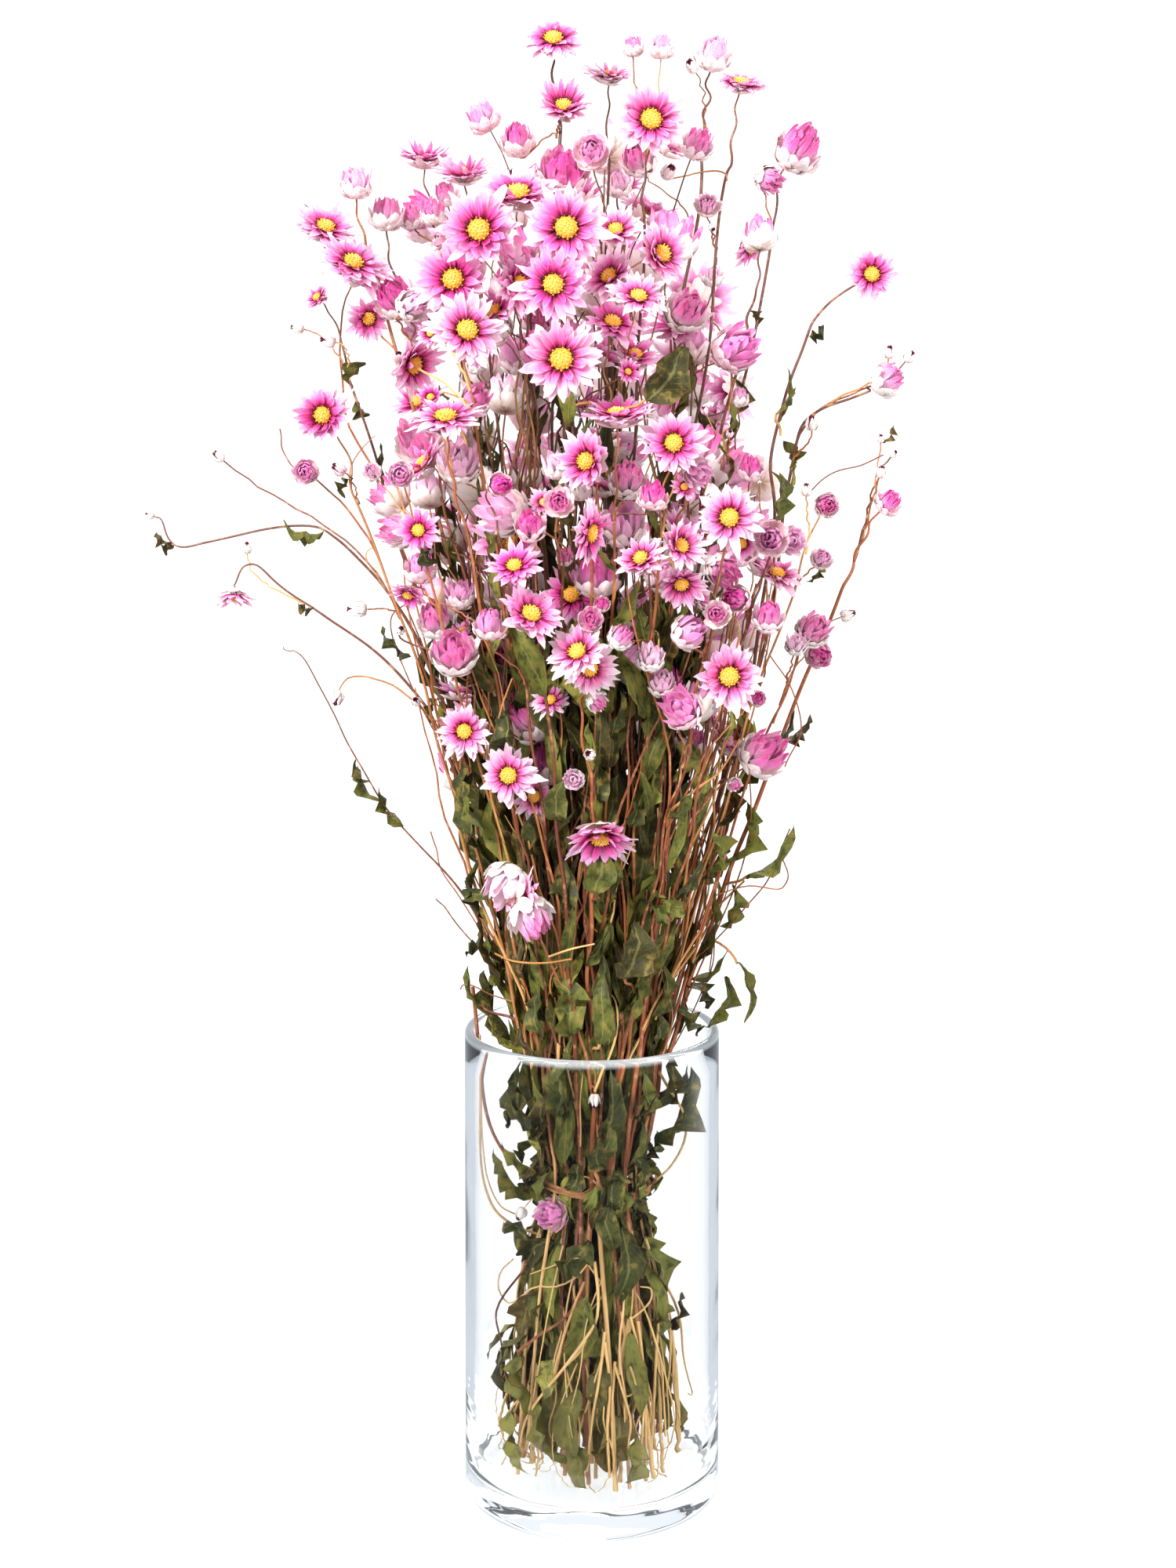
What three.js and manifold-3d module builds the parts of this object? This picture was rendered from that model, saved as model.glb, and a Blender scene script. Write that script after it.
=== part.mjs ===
// A bunch of dried rhodanthe, the pink paper daisy, tied at its waist and standing in a clear glass
// cylinder vase. Millimetres, +Z up, the origin under the middle of the vase, the front towards -Y.
import * as THREE from 'three'
import Module from 'manifold-3d'

const wasm = await Module()
wasm.setup()

// Vase
const VASE_RADIUS = 50
const VASE_HEIGHT = 183.5
const VASE_WALL = 3.6
const VASE_FLOOR = 11
const VASE_CORNER = 4.5
const CORNER_CUT = 1 - Math.SQRT1_2
const VASE_INNER_CORNER = 4
const VASE_SIDES = 32

// Bunch: the tie, and the radius of the stems' ring at their feet, above the feet and at the tie
const TOUCH = 0.3
const TIE_HEIGHT = 123.5
const TIE_SLANT = 3
const TIE_WIDTH = 3.2
const TIE_THICKNESS = 1.2
const TIE_SIDES = 20
const NECK_RADIUS = 20.5
const SKIRT_HEIGHT = 78
const SKIRT_RADIUS = 30
const FEET_RADIUS = 34
const FEET_HEIGHT = VASE_FLOOR + TOUCH

// A stem fans out from the tie by a power of its height, and swings round to its head over its last part
const FAN_POWER = 1.3
const FAN_POINTS = 12
const FAN_BACK = 4
const SWING_POINTS = 6
const SWING_SHARE = 0.6
const FLOWERING_REACH = 34
const BRANCH_REACH = 26
const HANDLE_OUT = 0.42
const HANDLE_IN = 0.36
const ROUTE_POINTS = 18
const ROUTE_END = 2

// Stalks: the distance from the middle to the corners of their three-sided section
const STEM_THICK = 1.5
const STEM_THIN = 1.15
const STALK_THICK = 0.48
const STALK_THIN = 0.58
const STALK_SIDES = 3
const STALK_IN_HEAD = 0.8

// Which of a curve's fine points a stem, a side stalk and a short one are built on
const STEM_STEPS = [0, 1, 2, 6, 10, 14, 17, 20]
const STALK_STEPS = [0, 2, 4, 6]
const SHORT_STEPS = [0, 3, 6]
const SHORT_STALK = 34

// Stems that share more than this volume are joined
const JOIN_VOLUME = 0.002

// Half the width of the bunch at each height, and its depth against its width
const OUTLINE = [[120, 22], [150, 32], [187, 41], [230, 50], [280, 60], [340, 87], [400, 98], [470, 92], [530, 80], [580, 45]]
const DEPTH_SHARE = 0.85
const DEPTH_MARGIN = 12
const DEPTH_LEAST = 0.2

// Heads are placed as they show from an eye at this distance and height
const EYE_DISTANCE = 900
const EYE_HEIGHT = 428

// Flower heads, one row for each stem, its leading head first. Each head is x and z as seen, its
// radius, its kind (o open, h half open, b bud), where it faces (degrees to the right, degrees up),
// and its depth in the bunch from -1 in front to 1 behind.
const STEMS = [
  [[-15, 570, 12, 'o', 0, 45, -0.2], [-11, 544, 11, 'o', 10, 50, -0.3], [-29, 531, 7.5, 'h', -10, 65, 0.1]],
  [[7, 556, 9.5, 'o', 20, 72, 0.3], [0, 527, 7.5, 'h', 0, 15, -0.6], [-11, 519, 10.5, 'h', 10, 45, -0.2]],
  [[23, 539, 14, 'o', 5, 12, -0.6], [16, 567, 4.5, 'h', -10, 85, 0.1], [27, 567, 5.5, 'h', 10, 80, 0]],
  [[47, 564, 7.5, 'h', 20, 65, 0.4], [39, 560, 3.5, 'b', -40, 40, 0.3], [18, 524, 8, 'h', -20, 35, -0.3]],
  [[58, 553, 10, 'o', 20, 65, 0], [30, 519, 4, 'b', 30, 30, -0.1], [45, 506, 5, 'h', 0, 25, 0], [47, 497, 2, 'b', 20, -30, 0]],
  [[80, 528, 10.5, 'h', 40, 45, 0.1], [69, 516, 6, 'h', 50, -30, 0.1], [62, 490, 9.5, 'o', 60, -35, 0.2]],
  [[-65, 524, 11, 'o', 0, 80, 0.2], [-57, 510, 5.5, 'h', -20, 60, 0.4], [-62, 503, 5.5, 'h', 0, 70, 0.1], [-70, 501, 5, 'h', -20, 60, 0.4]],
  [[-50, 518, 11, 'o', 0, 68, 0.1], [-44, 496, 15, 'o', 0, 8, -0.9]],
  [[-29, 510, 15, 'o', 0, 52, -0.5], [-29, 475, 12, 'o', 50, 5, -0.7]],
  [[-10, 497, 15, 'o', 0, 6, -0.9], [-15, 475, 13.5, 'o', 0, 3, -1]],
  [[-92, 514, 7, 'h', 0, 75, 0.1], [-104, 497, 12, 'o', 30, 50, 0.1], [-93, 483, 13, 'o', 35, 45, -0.3]],
  [[-80, 502, 7.5, 'h', 10, 75, 0.4], [-54, 477, 14, 'o', -5, 8, -0.9]],
  [[10, 514, 6, 'h', 0, 60, 0.5], [10, 496, 10, 'o', 0, 40, -0.4], [7, 478, 11, 'o', -35, 35, -0.6]],
  [[14, 514, 5.5, 'o', 20, 60, 0.6], [27, 487, 12, 'o', 35, 8, -0.7], [18, 470, 11, 'o', 15, 50, -0.8]],
  [[8, 460, 11, 'o', 20, 50, -0.5], [-12, 446, 15, 'o', 0, 5, -1]],
  [[-77, 470, 9.5, 'h', -30, 40, -0.2], [-70, 467, 7, 'h', 50, 20, -0.4], [-87, 462, 8.5, 'o', 30, -15, 0]],
  [[-107, 470, 6, 'o', -40, 30, 0.3], [-115, 458, 3, 'b', -80, 10, 0.3], [-103, 453, 3.5, 'b', -80, 10, 0]],
  [[-49, 457, 14, 'o', 18, 20, -0.9], [-63, 456, 5.5, 'o', -20, 10, -0.6], [-70, 444, 12, 'o', 50, -15, -0.6], [-75, 446, 3.5, 'b', -20, 60, -0.3]],
  [[37, 465, 9.5, 'h', 20, 30, -0.3], [47, 478, 4.5, 'h', 0, 70, 0.2], [56, 450, 10, 'h', 40, 25, -0.4]],
  [[109, 479, 10, 'o', 5, 5, -0.2]],
  [[115, 439, 7.5, 'h', 70, 25, 0.3], [116, 448, 3, 'b', 0, 60, 0.3], [124, 447, 3, 'b', 60, 50, 0.3], [86, 421, 3.5, 'b', 0, 80, 0]],
  [[-20, 462, 7.5, 'h', -20, 30, 0], [-45, 444, 4.5, 'h', 0, 70, 0], [14, 441, 5, 'o', 30, 20, -0.6]],
  [[-105, 424, 11.5, 'o', -12, 5, -0.5], [-112, 402, 5.5, 'h', 0, 5, -0.5], [-99, 403, 3.5, 'b', -60, 30, -0.5], [-92, 348, 4.5, 'b', -85, 0, -0.5],
    [-146, 408, 3, 'b', -60, 40, 0]],
  [[-75, 401, 5.5, 'h', 0, 5, -1], [-86, 402, 4, 'h', -20, 30, -0.6], [-68, 379, 8.5, 'o', 0, 10, -1], [-72, 354, 7, 'o', -20, -50, -0.8]],
  [[-56, 423, 14, 'o', 0, 65, -0.8], [-63, 431, 5.5, 'o', -10, 30, -0.7], [-67, 364, 7, 'h', 10, 70, -0.8], [-61, 344, 8.5, 'h', -10, 50, -0.7],
    [-75, 340, 2.5, 'b', 20, 30, -0.8]],
  [[-46, 430, 7, 'h', 40, 40, -0.6], [-52, 405, 8.5, 'h', 0, 50, -0.6], [-52, 353, 6, 'h', 0, 75, -0.6], [-54, 331, 10, 'h', 0, 45, -1]],
  [[-36, 397, 5.5, 'h', 30, 5, -1], [-30, 365, 10, 'o', -10, 45, -1], [-40, 342, 7, 'h', 10, 70, -1], [-50, 300, 10, 'o', -5, 10, -1],
    [-69, 312, 2.5, 'b', -10, 30, -0.6]],
  [[-24, 381, 7, 'h', 0, 45, -1], [-19, 390, 5.5, 'o', 0, 10, -0.8], [-24, 346, 12.5, 'o', 25, 40, -1]],
  [[-14, 404, 6, 'h', -10, 70, -0.8], [-13, 390, 6, 'h', 0, 15, -1], [-11, 368, 3.5, 'h', 0, 60, -0.7]],
  [[-2, 406, 12, 'o', -25, 8, -0.9], [-1, 378, 12, 'o', 65, -10, -1], [-5, 332, 12, 'o', -25, 40, -1]],
  [[2, 361, 10, 'h', 0, 70, -0.7], [4, 350, 3.5, 'h', 0, 40, -0.8], [-1, 343, 5.5, 'h', 0, 20, -1], [-16, 312, 7.5, 'o', -10, 45, -0.8]],
  [[10, 424, 13, 'o', 0, 78, -0.9], [14, 399, 8.5, 'h', 0, 50, -0.7], [24, 392, 6, 'h', 10, 75, -0.9]],
  [[32, 413, 12, 'o', 5, 8, -0.9], [41, 402, 6, 'h', 30, -20, -0.9], [20, 368, 10, 'o', -25, 35, -1], [11, 337, 5.5, 'h', 50, 40, -1]],
  [[36, 396, 5.5, 'o', 0, 20, -0.8], [34, 372, 10, 'o', 35, 25, -1], [35, 359, 10, 'o', 5, -40, -1], [23, 329, 6, 'h', 10, 60, -0.9]],
  [[54, 384, 12.5, 'o', -10, 5, -1], [58, 373, 7, 'o', 10, -10, -0.8], [49, 346, 5.5, 'h', -10, 10, -1], [38, 339, 7.5, 'h', 50, 25, -0.9]],
  [[57, 431, 4.5, 'h', 0, 80, -0.2], [44, 426, 2, 'b', -30, 50, -0.5], [54, 417, 2, 'b', 0, 40, -0.5], [62, 403, 6, 'h', 0, 65, -0.5]],
  [[70, 376, 7, 'h', -10, 5, -0.9], [78, 375, 5.5, 'h', 10, 5, -0.7], [52, 364, 7, 'h', 40, -25, -0.8], [56, 353, 6, 'h', -40, 10, -0.8]],
  [[92, 389, 5.5, 'h', 5, 5, -0.5], [84, 395, 3, 'b', 0, 70, -0.3], [90, 368, 4.5, 'h', 20, 30, -0.5], [69, 345, 7, 'h', 10, 60, -0.9]],
  [[116, 390, 5.5, 'h', 50, 40, 0], [113, 402, 3, 'b', 20, 60, 0], [113, 415, 2, 'b', 0, 60, 0], [118, 409, 2, 'b', 40, 40, 0]],
  [[87, 340, 7.5, 'h', 25, 35, -0.4], [89, 330, 6, 'h', 20, -10, -0.4], [100, 346, 3.5, 'b', 80, 20, 0], [80, 334, 4.5, 'h', 20, 60, -0.6]],
  [[53, 322, 13, 'o', 0, 5, -1], [65, 313, 3.5, 'h', 20, 30, -0.9], [67, 291, 10, 'h', 45, 35, -0.8], [56, 279, 3, 'h', 20, -20, -0.8]],
  [[35, 309, 8.5, 'h', -35, 30, -1], [27, 319, 6, 'h', 0, 50, -0.8], [-1, 325, 11, 'o', 10, -15, -1]],
  [[2, 312, 4.5, 'h', 50, -30, -1], [-1, 291, 3, 'b', -20, 20, -1], [-7, 281, 4.5, 'h', -10, 10, -1], [3, 259, 13, 'o', 0, -50, -1]],
  [[-32, 283, 11, 'o', 0, 5, -1], [-23, 274, 8.5, 'o', 15, 15, -0.9], [-26, 235, 10.5, 'o', 110, 5, -1]],
  [[1, 154, 3, 'b', 0, -70, -1], [-16, 109, 6.5, 'h', -35, 10, -1], [-28, 109, 3, 'b', -40, -40, -0.9]],
  [[-140, 353, 8.5, 'o', 0, -75, 0], [-135, 372, 2.5, 'b', 0, 80, 0], [-100, 313, 3.5, 'b', -20, -60, -0.3]],
  [[-173, 385, 2, 'b', -90, 20, 0]],
  [[-125, 338, 8, 'l', -70, 50, 0]],
]

// Stems that leave the bunch by a way of their own: the points x, z that they pass, as seen
const ROUTES = new Map([
  [19, [[45, 250], [64, 330], [71, 388], [72, 419], [82, 450], [90, 465]]],
  [20, [[47, 250], [69, 340], [77, 400], [85, 423], [107, 433]]],
  [45, [[-36, 230], [-58, 295], [-73, 320], [-98, 341], [-118, 354], [-134, 366]]],
  [46, [[-35, 240], [-58, 310], [-75, 348], [-95, 371], [-106, 380], [-124, 380], [-148, 375], [-163, 373]]],
  [47, [[-40, 215], [-51, 236], [-76, 264], [-92, 288], [-102, 308], [-115, 331]]],
])

// Rows whose stems are repeated behind, turned half round and drawn in towards the middle
const BACK_ROWS = [11, 9, 14, 17, 24, 27, 29, 32, 34, 40]
const BACK_SHARE = 0.8
const BACK_DROP = 9

// Large leaves: x and z of the foot, x and z of the tip, width, and depth in the bunch
const LARGE_LEAVES = [
  [21, 430, 38, 451, 17, -0.95],
  [72, 424, 77, 443, 8, -0.3],
  [70, 382, 73, 402, 13, -0.6],
  [2, 236, 4, 254, 13, -1.05],
  [13, 202, 18, 225, 17, -1.05],
  [3, 176, 5, 205, 9, -1.05],
  [60, 242, 79, 264, 14, -0.4],
  [57, 209, 61, 184, 9, -0.3],
  [-43, 191, -49, 208, 6, -0.4],
]

// Small leaves by rule: on the outer stems, outwards and up, at heights drawn between these
const LEAF_SLOT = 0.72
const LEAF_HEIGHTS = [24, 52, 140, 168, 198, 228, 258, 288, 318]
const LEAF_LENGTH = [15, 26]
const LEAF_WIDTH = [6, 10]
const LEAF_LIFT = [40, 72]
const LEAF_KEPT = 0.2
const LEAF_HEIGHT_DRAW = 16
const LEAF_TURN_DRAW = 1.1
const LEAF_DROOP = 0.9
const LEAF_TOP_POINT = 5
const LEAF_TOP_GAP = 6

// A leaf's form: along it, half its width, and how far its edges rise, the last two against its width
const LEAF_THICKNESS = 0.7
const LEAF_ARCH = 0.12
const LEAF_KEEL = 0.1
const SMALL_LEAF = [[0.5, 0.5, 0.16]]
const LARGE_LEAF = [[0, 0.12, 0], [0.35, 0.5, 0.18], [0.74, 0.36, 0.1]]
const LARGE_LEAF_BELOW = 8
const LARGE_LEAF_ABOVE = 5

// Room that a leaf needs, looked at in three places along it
const LEAF_SPOTS = [0.4, 0.75, 1]
const LEAF_CLEAR = 3
const LEAF_RIM_GAP = 5
const LEAF_FLOOR_GAP = 3
const LEAF_WALL_SHARE = 0.3
const LEAF_STEM_SHARE = 0.4
const LEAF_STEM_GAP = 1.6

// How heads that would touch are moved apart
const SPREAD_STEPS = 160
const CLEAR_STEPS = 80
const STEM_CLEAR = 2.8
const SPREAD_SIDEWAYS = 0.35
const SPREAD_PUSH = 0.25
const SPREAD_PULL = 0.02
const SPREAD_GAP = 1.2
const SAME_STEM = 1.05
const NEAR_SHARE = 1.2
const STEM_OVERSHOOT = 20

// How far out in the neck the lowest and the highest heads have their stems
const SLOT_LOW = 1.4
const SLOT_HIGH = 0.7
const SWAP_GAIN = 1e-9

const STEM_COUNT = STEMS.length + BACK_ROWS.length
const GOLDEN_ANGLE = Math.PI * (3 - Math.sqrt(5))
const SEED = 20261
const DRAW_FACTOR = 16807
const DRAW_MODULUS = 2147483647
const STEEP = 0.96

const vec = (x, y, z) => new THREE.Vector3(x, y, z)
const rad = THREE.MathUtils.degToRad
const mix = (a, b, t) => a + (b - a) * t

// Seeded draws between 0 and 1
let drawState = SEED
function draw() {
  drawState = (drawState * DRAW_FACTOR) % DRAW_MODULUS
  return drawState / DRAW_MODULUS
}

// The value at z of a line through rows of [z, value]
function along(rows, z) {
  if (z <= rows[0][0]) return rows[0][1]
  for (let i = 1; i < rows.length; i++) {
    const [z0, v0] = rows[i - 1]
    const [z1, v1] = rows[i]
    if (z <= z1) return mix(v0, v1, (z - z0) / (z1 - z0))
  }
  return rows[rows.length - 1][1]
}

// Heads: how wide and deep the ball round one is, and how far its foot lies back, against its radius
const SHAPES = {
  o: { across: 1, deep: 0.42, foot: 0.5 },
  h: { across: 0.78, deep: 0.95, foot: 0.95 },
  b: { across: 0.72, deep: 1.1, foot: 1.1 },
  l: { across: 0.4, deep: 1, foot: 1 },
}

// Corners of the heads' rings: distance from the axis, and height along it
const OPEN = { tip: [1, 0.02], notch: [0.7, -0.06], fold: [0.6, 0.12], crest: [0.84, 0.3], disc: [0.3, 0.1], dome: 0.26 }
const OPEN_BRACTS = [[10.5, 7], [8, 6], [0, 5]]
const HALF = { belly: [0.9, -0.3], tip: [1, 1], notch: [0.78, 0.42], well: 0.1 }
const HALF_BRACTS = [[7.2, 6], [0, 5]]
const BUD_SIDES = 5
const BUD_BELLY = -0.15

function depthAt(x, z, share) {
  const width = along(OUTLINE, z)
  const room = Math.max(DEPTH_LEAST, 1 - (x / (width + DEPTH_MARGIN)) ** 2)
  return share * DEPTH_SHARE * width * Math.sqrt(room)
}

// A reading on the middle plane, moved along the line of sight to depth y
function unproject(x, z, y) {
  const scale = (EYE_DISTANCE + y) / EYE_DISTANCE
  return [x * scale, EYE_HEIGHT + (z - EYE_HEIGHT) * scale]
}

function facing(yaw, pitch) {
  const a = rad(yaw)
  const b = rad(pitch)
  return vec(Math.sin(a) * Math.cos(b), -Math.cos(a) * Math.cos(b), Math.sin(b))
}

function makeHead(stem, reading, leading, turned) {
  const [x, z, size, kind, yaw, pitch, share] = reading
  const y = depthAt(x, z, share)
  const head = { stem, kind, turned, leading, seenX: x, seenZ: z }
  if (turned) {
    head.at = vec(-x * BACK_SHARE, -y, z - BACK_DROP)
    head.axis = facing(yaw + 180, pitch)
    head.radius = size
  } else {
    const [worldX, worldZ] = unproject(x, z, y)
    head.at = vec(worldX, y, worldZ)
    head.axis = facing(yaw, pitch)
    head.radius = size * (EYE_DISTANCE + y) / EYE_DISTANCE
  }
  head.across = head.radius * SHAPES[kind].across
  head.deep = head.radius * SHAPES[kind].deep
  return head
}

// The distance from a head's middle to its surface in one direction, taken as a flattened ball
function reachOf(head, direction) {
  const c = direction.dot(head.axis) ** 2
  return 1 / Math.sqrt(c / head.deep ** 2 + (1 - c) / head.across ** 2)
}

// The point of a segment nearest to a place
function nearestOn(from, to, place) {
  const way = to.clone().sub(from)
  const t = place.clone().sub(from).dot(way) / way.lengthSq()
  return from.clone().addScaledVector(way, Math.min(1, Math.max(0, t)))
}

// How far one head is pushed by the others, and by the stem of another that runs deepest through it
function pushOn(head, heads, curves) {
  const push = vec(0, 0, 0)
  const add = (from, reach) => {
    const way = head.at.clone().sub(from)
    const distance = way.length()
    way.divideScalar(distance)
    const overlap = reach(way) - distance
    if (overlap > 0) {
      push.x += way.x * overlap * SPREAD_PUSH * SPREAD_SIDEWAYS
      push.y += way.y * overlap * SPREAD_PUSH
      push.z += way.z * overlap * SPREAD_PUSH * SPREAD_SIDEWAYS
    }
  }
  for (const other of heads) {
    if (other === head || head.at.distanceTo(other.at) > NEAR_SHARE * (head.radius + other.radius)) continue
    const share = head.stem === other.stem ? SAME_STEM : 1
    add(other.at, (way) => (reachOf(head, way) + reachOf(other, way) + SPREAD_GAP) * share)
  }
  let closest = null
  let least = head.radius * NEAR_SHARE + STEM_CLEAR
  curves.forEach((curve, stem) => {
    if (stem === head.stem && head.leading) return
    for (let k = 3; k < curve.length; k++) {
      if (Math.min(curve[k].z, curve[k - 1].z) > head.at.z + STEM_OVERSHOOT) break
      const spot = nearestOn(curve[k - 1], curve[k], head.at)
      const distance = spot.distanceTo(head.at)
      if (distance < least) {
        least = distance
        closest = spot
      }
    }
  })
  if (closest) add(closest, (way) => reachOf(head, way) + STEM_CLEAR)
  return push
}

function spreadHeads(heads, curves, steps) {
  for (let step = 0; step < steps; step++) {
    const pushes = heads.map((head) => pushOn(head, heads, curves))
    heads.forEach((head, i) => {
      head.at.add(pushes[i])
      if (head.turned) return
      const [homeX, homeZ] = unproject(head.seenX, head.seenZ, head.at.y)
      head.at.x += (homeX - head.at.x) * SPREAD_PULL
      head.at.z += (homeZ - head.at.z) * SPREAD_PULL
    })
  }
}

// Places in the neck: a sunflower pattern, each taken by the stem whose leading head lies that way
function assignSlots(stems) {
  const slots = stems.map((_, k) => {
    const r = Math.sqrt((k + 0.5) / STEM_COUNT)
    return [r * Math.cos(k * GOLDEN_ANGLE), r * Math.sin(k * GOLDEN_ANGLE)]
  })
  const wanted = stems.map(([head]) => {
    const width = along(OUTLINE, head.at.z)
    const outwards = mix(SLOT_LOW, SLOT_HIGH, (head.at.z - TIE_HEIGHT) / (OUTLINE[OUTLINE.length - 1][0] - TIE_HEIGHT))
    return [head.at.x / width * outwards, head.at.y / (width * DEPTH_SHARE) * outwards]
  })
  const cost = (slot, want) => (slot[0] - want[0]) ** 2 + (slot[1] - want[1]) ** 2
  let changed = true
  while (changed) {
    changed = false
    for (let i = 0; i < slots.length; i++) {
      for (let j = i + 1; j < slots.length; j++) {
        const now = cost(slots[i], wanted[i]) + cost(slots[j], wanted[j])
        const swapped = cost(slots[j], wanted[i]) + cost(slots[i], wanted[j])
        if (swapped < now - SWAP_GAIN) {
          const kept = slots[i]
          slots[i] = slots[j]
          slots[j] = kept
          changed = true
        }
      }
    }
  }
  return slots
}

// Curves: fine points along a stem or a side stalk
function bezier(start, startWay, end, endWay, steps) {
  const span = start.distanceTo(end)
  const a = start.clone().addScaledVector(startWay, span * HANDLE_OUT)
  const b = end.clone().addScaledVector(endWay, -span * HANDLE_IN)
  return new THREE.CubicBezierCurve3(start, a, b, end).getPoints(steps)
}

function headFoot(head) {
  const depth = head.radius * SHAPES[head.kind].foot
  return head.at.clone().addScaledVector(head.axis, -depth * STALK_IN_HEAD)
}

function stemCurve(index, slot, head) {
  const place = (radius, z) => vec(slot[0] * radius, slot[1] * radius, z)
  const points = [place(FEET_RADIUS, FEET_HEIGHT), place(SKIRT_RADIUS, SKIRT_HEIGHT), place(NECK_RADIUS, TIE_HEIGHT)]
  const foot = headFoot(head)
  const neck = points[2]
  if (ROUTES.has(index)) {
    const via = ROUTES.get(index).map(([x, z]) => {
      const share = (z - TIE_HEIGHT) / (foot.z - TIE_HEIGHT)
      const y = mix(neck.y, foot.y, Math.min(1, share))
      const [worldX, worldZ] = unproject(x, z, y)
      return vec(worldX, y, worldZ)
    })
    const last = foot.clone().addScaledVector(head.axis, -ROUTE_END)
    const curve = new THREE.CatmullRomCurve3([neck, ...via, last, foot], false, 'centripetal')
    return points.concat(curve.getPoints(ROUTE_POINTS).slice(1))
  }
  const rise = foot.z - TIE_HEIGHT
  const reach = Math.min(FLOWERING_REACH, rise * SWING_SHARE)
  const fan = (z) => {
    const s = ((z - TIE_HEIGHT) / rise) ** FAN_POWER
    return vec(mix(neck.x, foot.x, s), mix(neck.y, foot.y, s), z)
  }
  for (let k = 1; k <= FAN_POINTS; k++) points.push(fan(TIE_HEIGHT + (rise - reach) * k / FAN_POINTS))
  const leave = points[points.length - 1]
  const way = leave.clone().sub(fan(leave.z - FAN_BACK)).normalize()
  return points.concat(bezier(leave, way, foot, head.axis, SWING_POINTS).slice(1))
}

function stalkCurve(curve, head) {
  const foot = headFoot(head)
  const middle = curve[FAN_POINTS]
  const away = Math.hypot(foot.x - middle.x, foot.y - middle.y)
  const height = foot.z - Math.max(BRANCH_REACH, away)
  let k = 1
  while (k < curve.length - SWING_POINTS + 1 && curve[k].z < height) k++
  const start = curve[k].clone()
  const way = curve[k + 1].clone().sub(curve[k - 1]).normalize()
  return bezier(start, way, foot, head.axis, SWING_POINTS)
}

// Solids: rings of points joined into a closed surface, whose rings may differ in count
function closedSurface(rings) {
  const points = []
  const faces = []
  const starts = rings.map((ring) => {
    points.push(...ring)
    return points.length - ring.length
  })
  for (let k = 1; k < rings.length; k++) {
    const m = rings[k - 1].length
    const n = rings[k].length
    let i = 0
    let j = 0
    while (i < (m > 1 ? m : 0) || j < (n > 1 ? n : 0)) {
      const a = starts[k - 1] + (i % m)
      const b = starts[k] + (j % n)
      const stepLower = n === 1 || (m > 1 && i < m && (j >= n || (i + 1) / m <= (j + 1) / n))
      if (stepLower) {
        faces.push([a, starts[k - 1] + ((i + 1) % m), b])
        i++
      } else {
        faces.push([a, starts[k] + ((j + 1) % n), b])
        j++
      }
    }
  }
  const first = rings[0].length
  for (let i = 1; i < first - 1; i++) faces.push([starts[0], starts[0] + i + 1, starts[0] + i])
  const last = starts[starts.length - 1]
  const end = rings[rings.length - 1].length
  for (let i = 1; i < end - 1; i++) faces.push([last, last + i, last + i + 1])
  return toSolid(points, faces)
}

function toSolid(points, faces) {
  let volume = 0
  for (const [a, b, c] of faces) {
    volume += points[a].dot(points[b].clone().cross(points[c]))
  }
  const turned = volume < 0 ? faces.map(([a, b, c]) => [a, c, b]) : faces
  const mesh = new wasm.Mesh({
    numProp: 3,
    vertProperties: new Float32Array(points.flatMap((p) => [p.x, p.y, p.z])),
    triVerts: new Uint32Array(turned.flat()),
  })
  return new wasm.Manifold(mesh)
}

// Two directions square to an axis, the first as level as it can be
function frameOf(axis) {
  const aside = Math.abs(axis.z) > STEEP ? vec(1, 0, 0) : vec(0, 0, 1)
  const u = aside.clone().cross(axis).normalize()
  return [u, axis.clone().cross(u)]
}

// Corners round a head's axis, by turns one and another [distance, height], in lengths of across and deep
function ring(head, count, across, deep, ...corners) {
  const [u, v] = frameOf(head.axis)
  return Array.from({ length: count }, (_, i) => {
    const angle = (2 * Math.PI * i) / count
    const [distance, height] = corners[i % corners.length]
    return head.at.clone()
      .addScaledVector(u, across * distance * Math.cos(angle))
      .addScaledVector(v, across * distance * Math.sin(angle))
      .addScaledVector(head.axis, deep * height)
  })
}

const onAxis = (head, height) => [head.at.clone().addScaledVector(head.axis, height)]
const bractsFor = (rows, radius) => rows.find(([least]) => radius > least)[1]

// The rings of a three-sided stalk, turned so that the last one fits the head that it carries
function stalkRings(points, thick, thin, axis) {
  const rings = []
  let [side] = frameOf(axis)
  for (let i = points.length - 1; i >= 0; i--) {
    const before = points[Math.max(0, i - 1)]
    const after = points[Math.min(points.length - 1, i + 1)]
    const way = i === points.length - 1 ? axis : after.clone().sub(before).normalize()
    const radius = mix(thick, thin, i / (points.length - 1))
    side = side.clone().projectOnPlane(way).normalize()
    const other = way.clone().cross(side)
    const corners = Array.from({ length: STALK_SIDES }, (_, corner) => {
      const angle = (2 * Math.PI * corner) / STALK_SIDES
      return points[i].clone()
        .addScaledVector(side, radius * Math.cos(angle))
        .addScaledVector(other, radius * Math.sin(angle))
    })
    rings.unshift(corners)
  }
  return rings
}

// An open head: an outer and an inner layer of pointed bracts round a domed disc
function openRings(head) {
  const r = head.radius
  const count = bractsFor(OPEN_BRACTS, r)
  const outer = ring(head, 2 * count, r, r, OPEN.tip, OPEN.notch)
  const inner = ring(head, 2 * count, r, r, OPEN.fold, OPEN.crest)
  return [outer, inner, ring(head, count, r, r, OPEN.disc), onAxis(head, OPEN.dome * r)]
}

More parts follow.
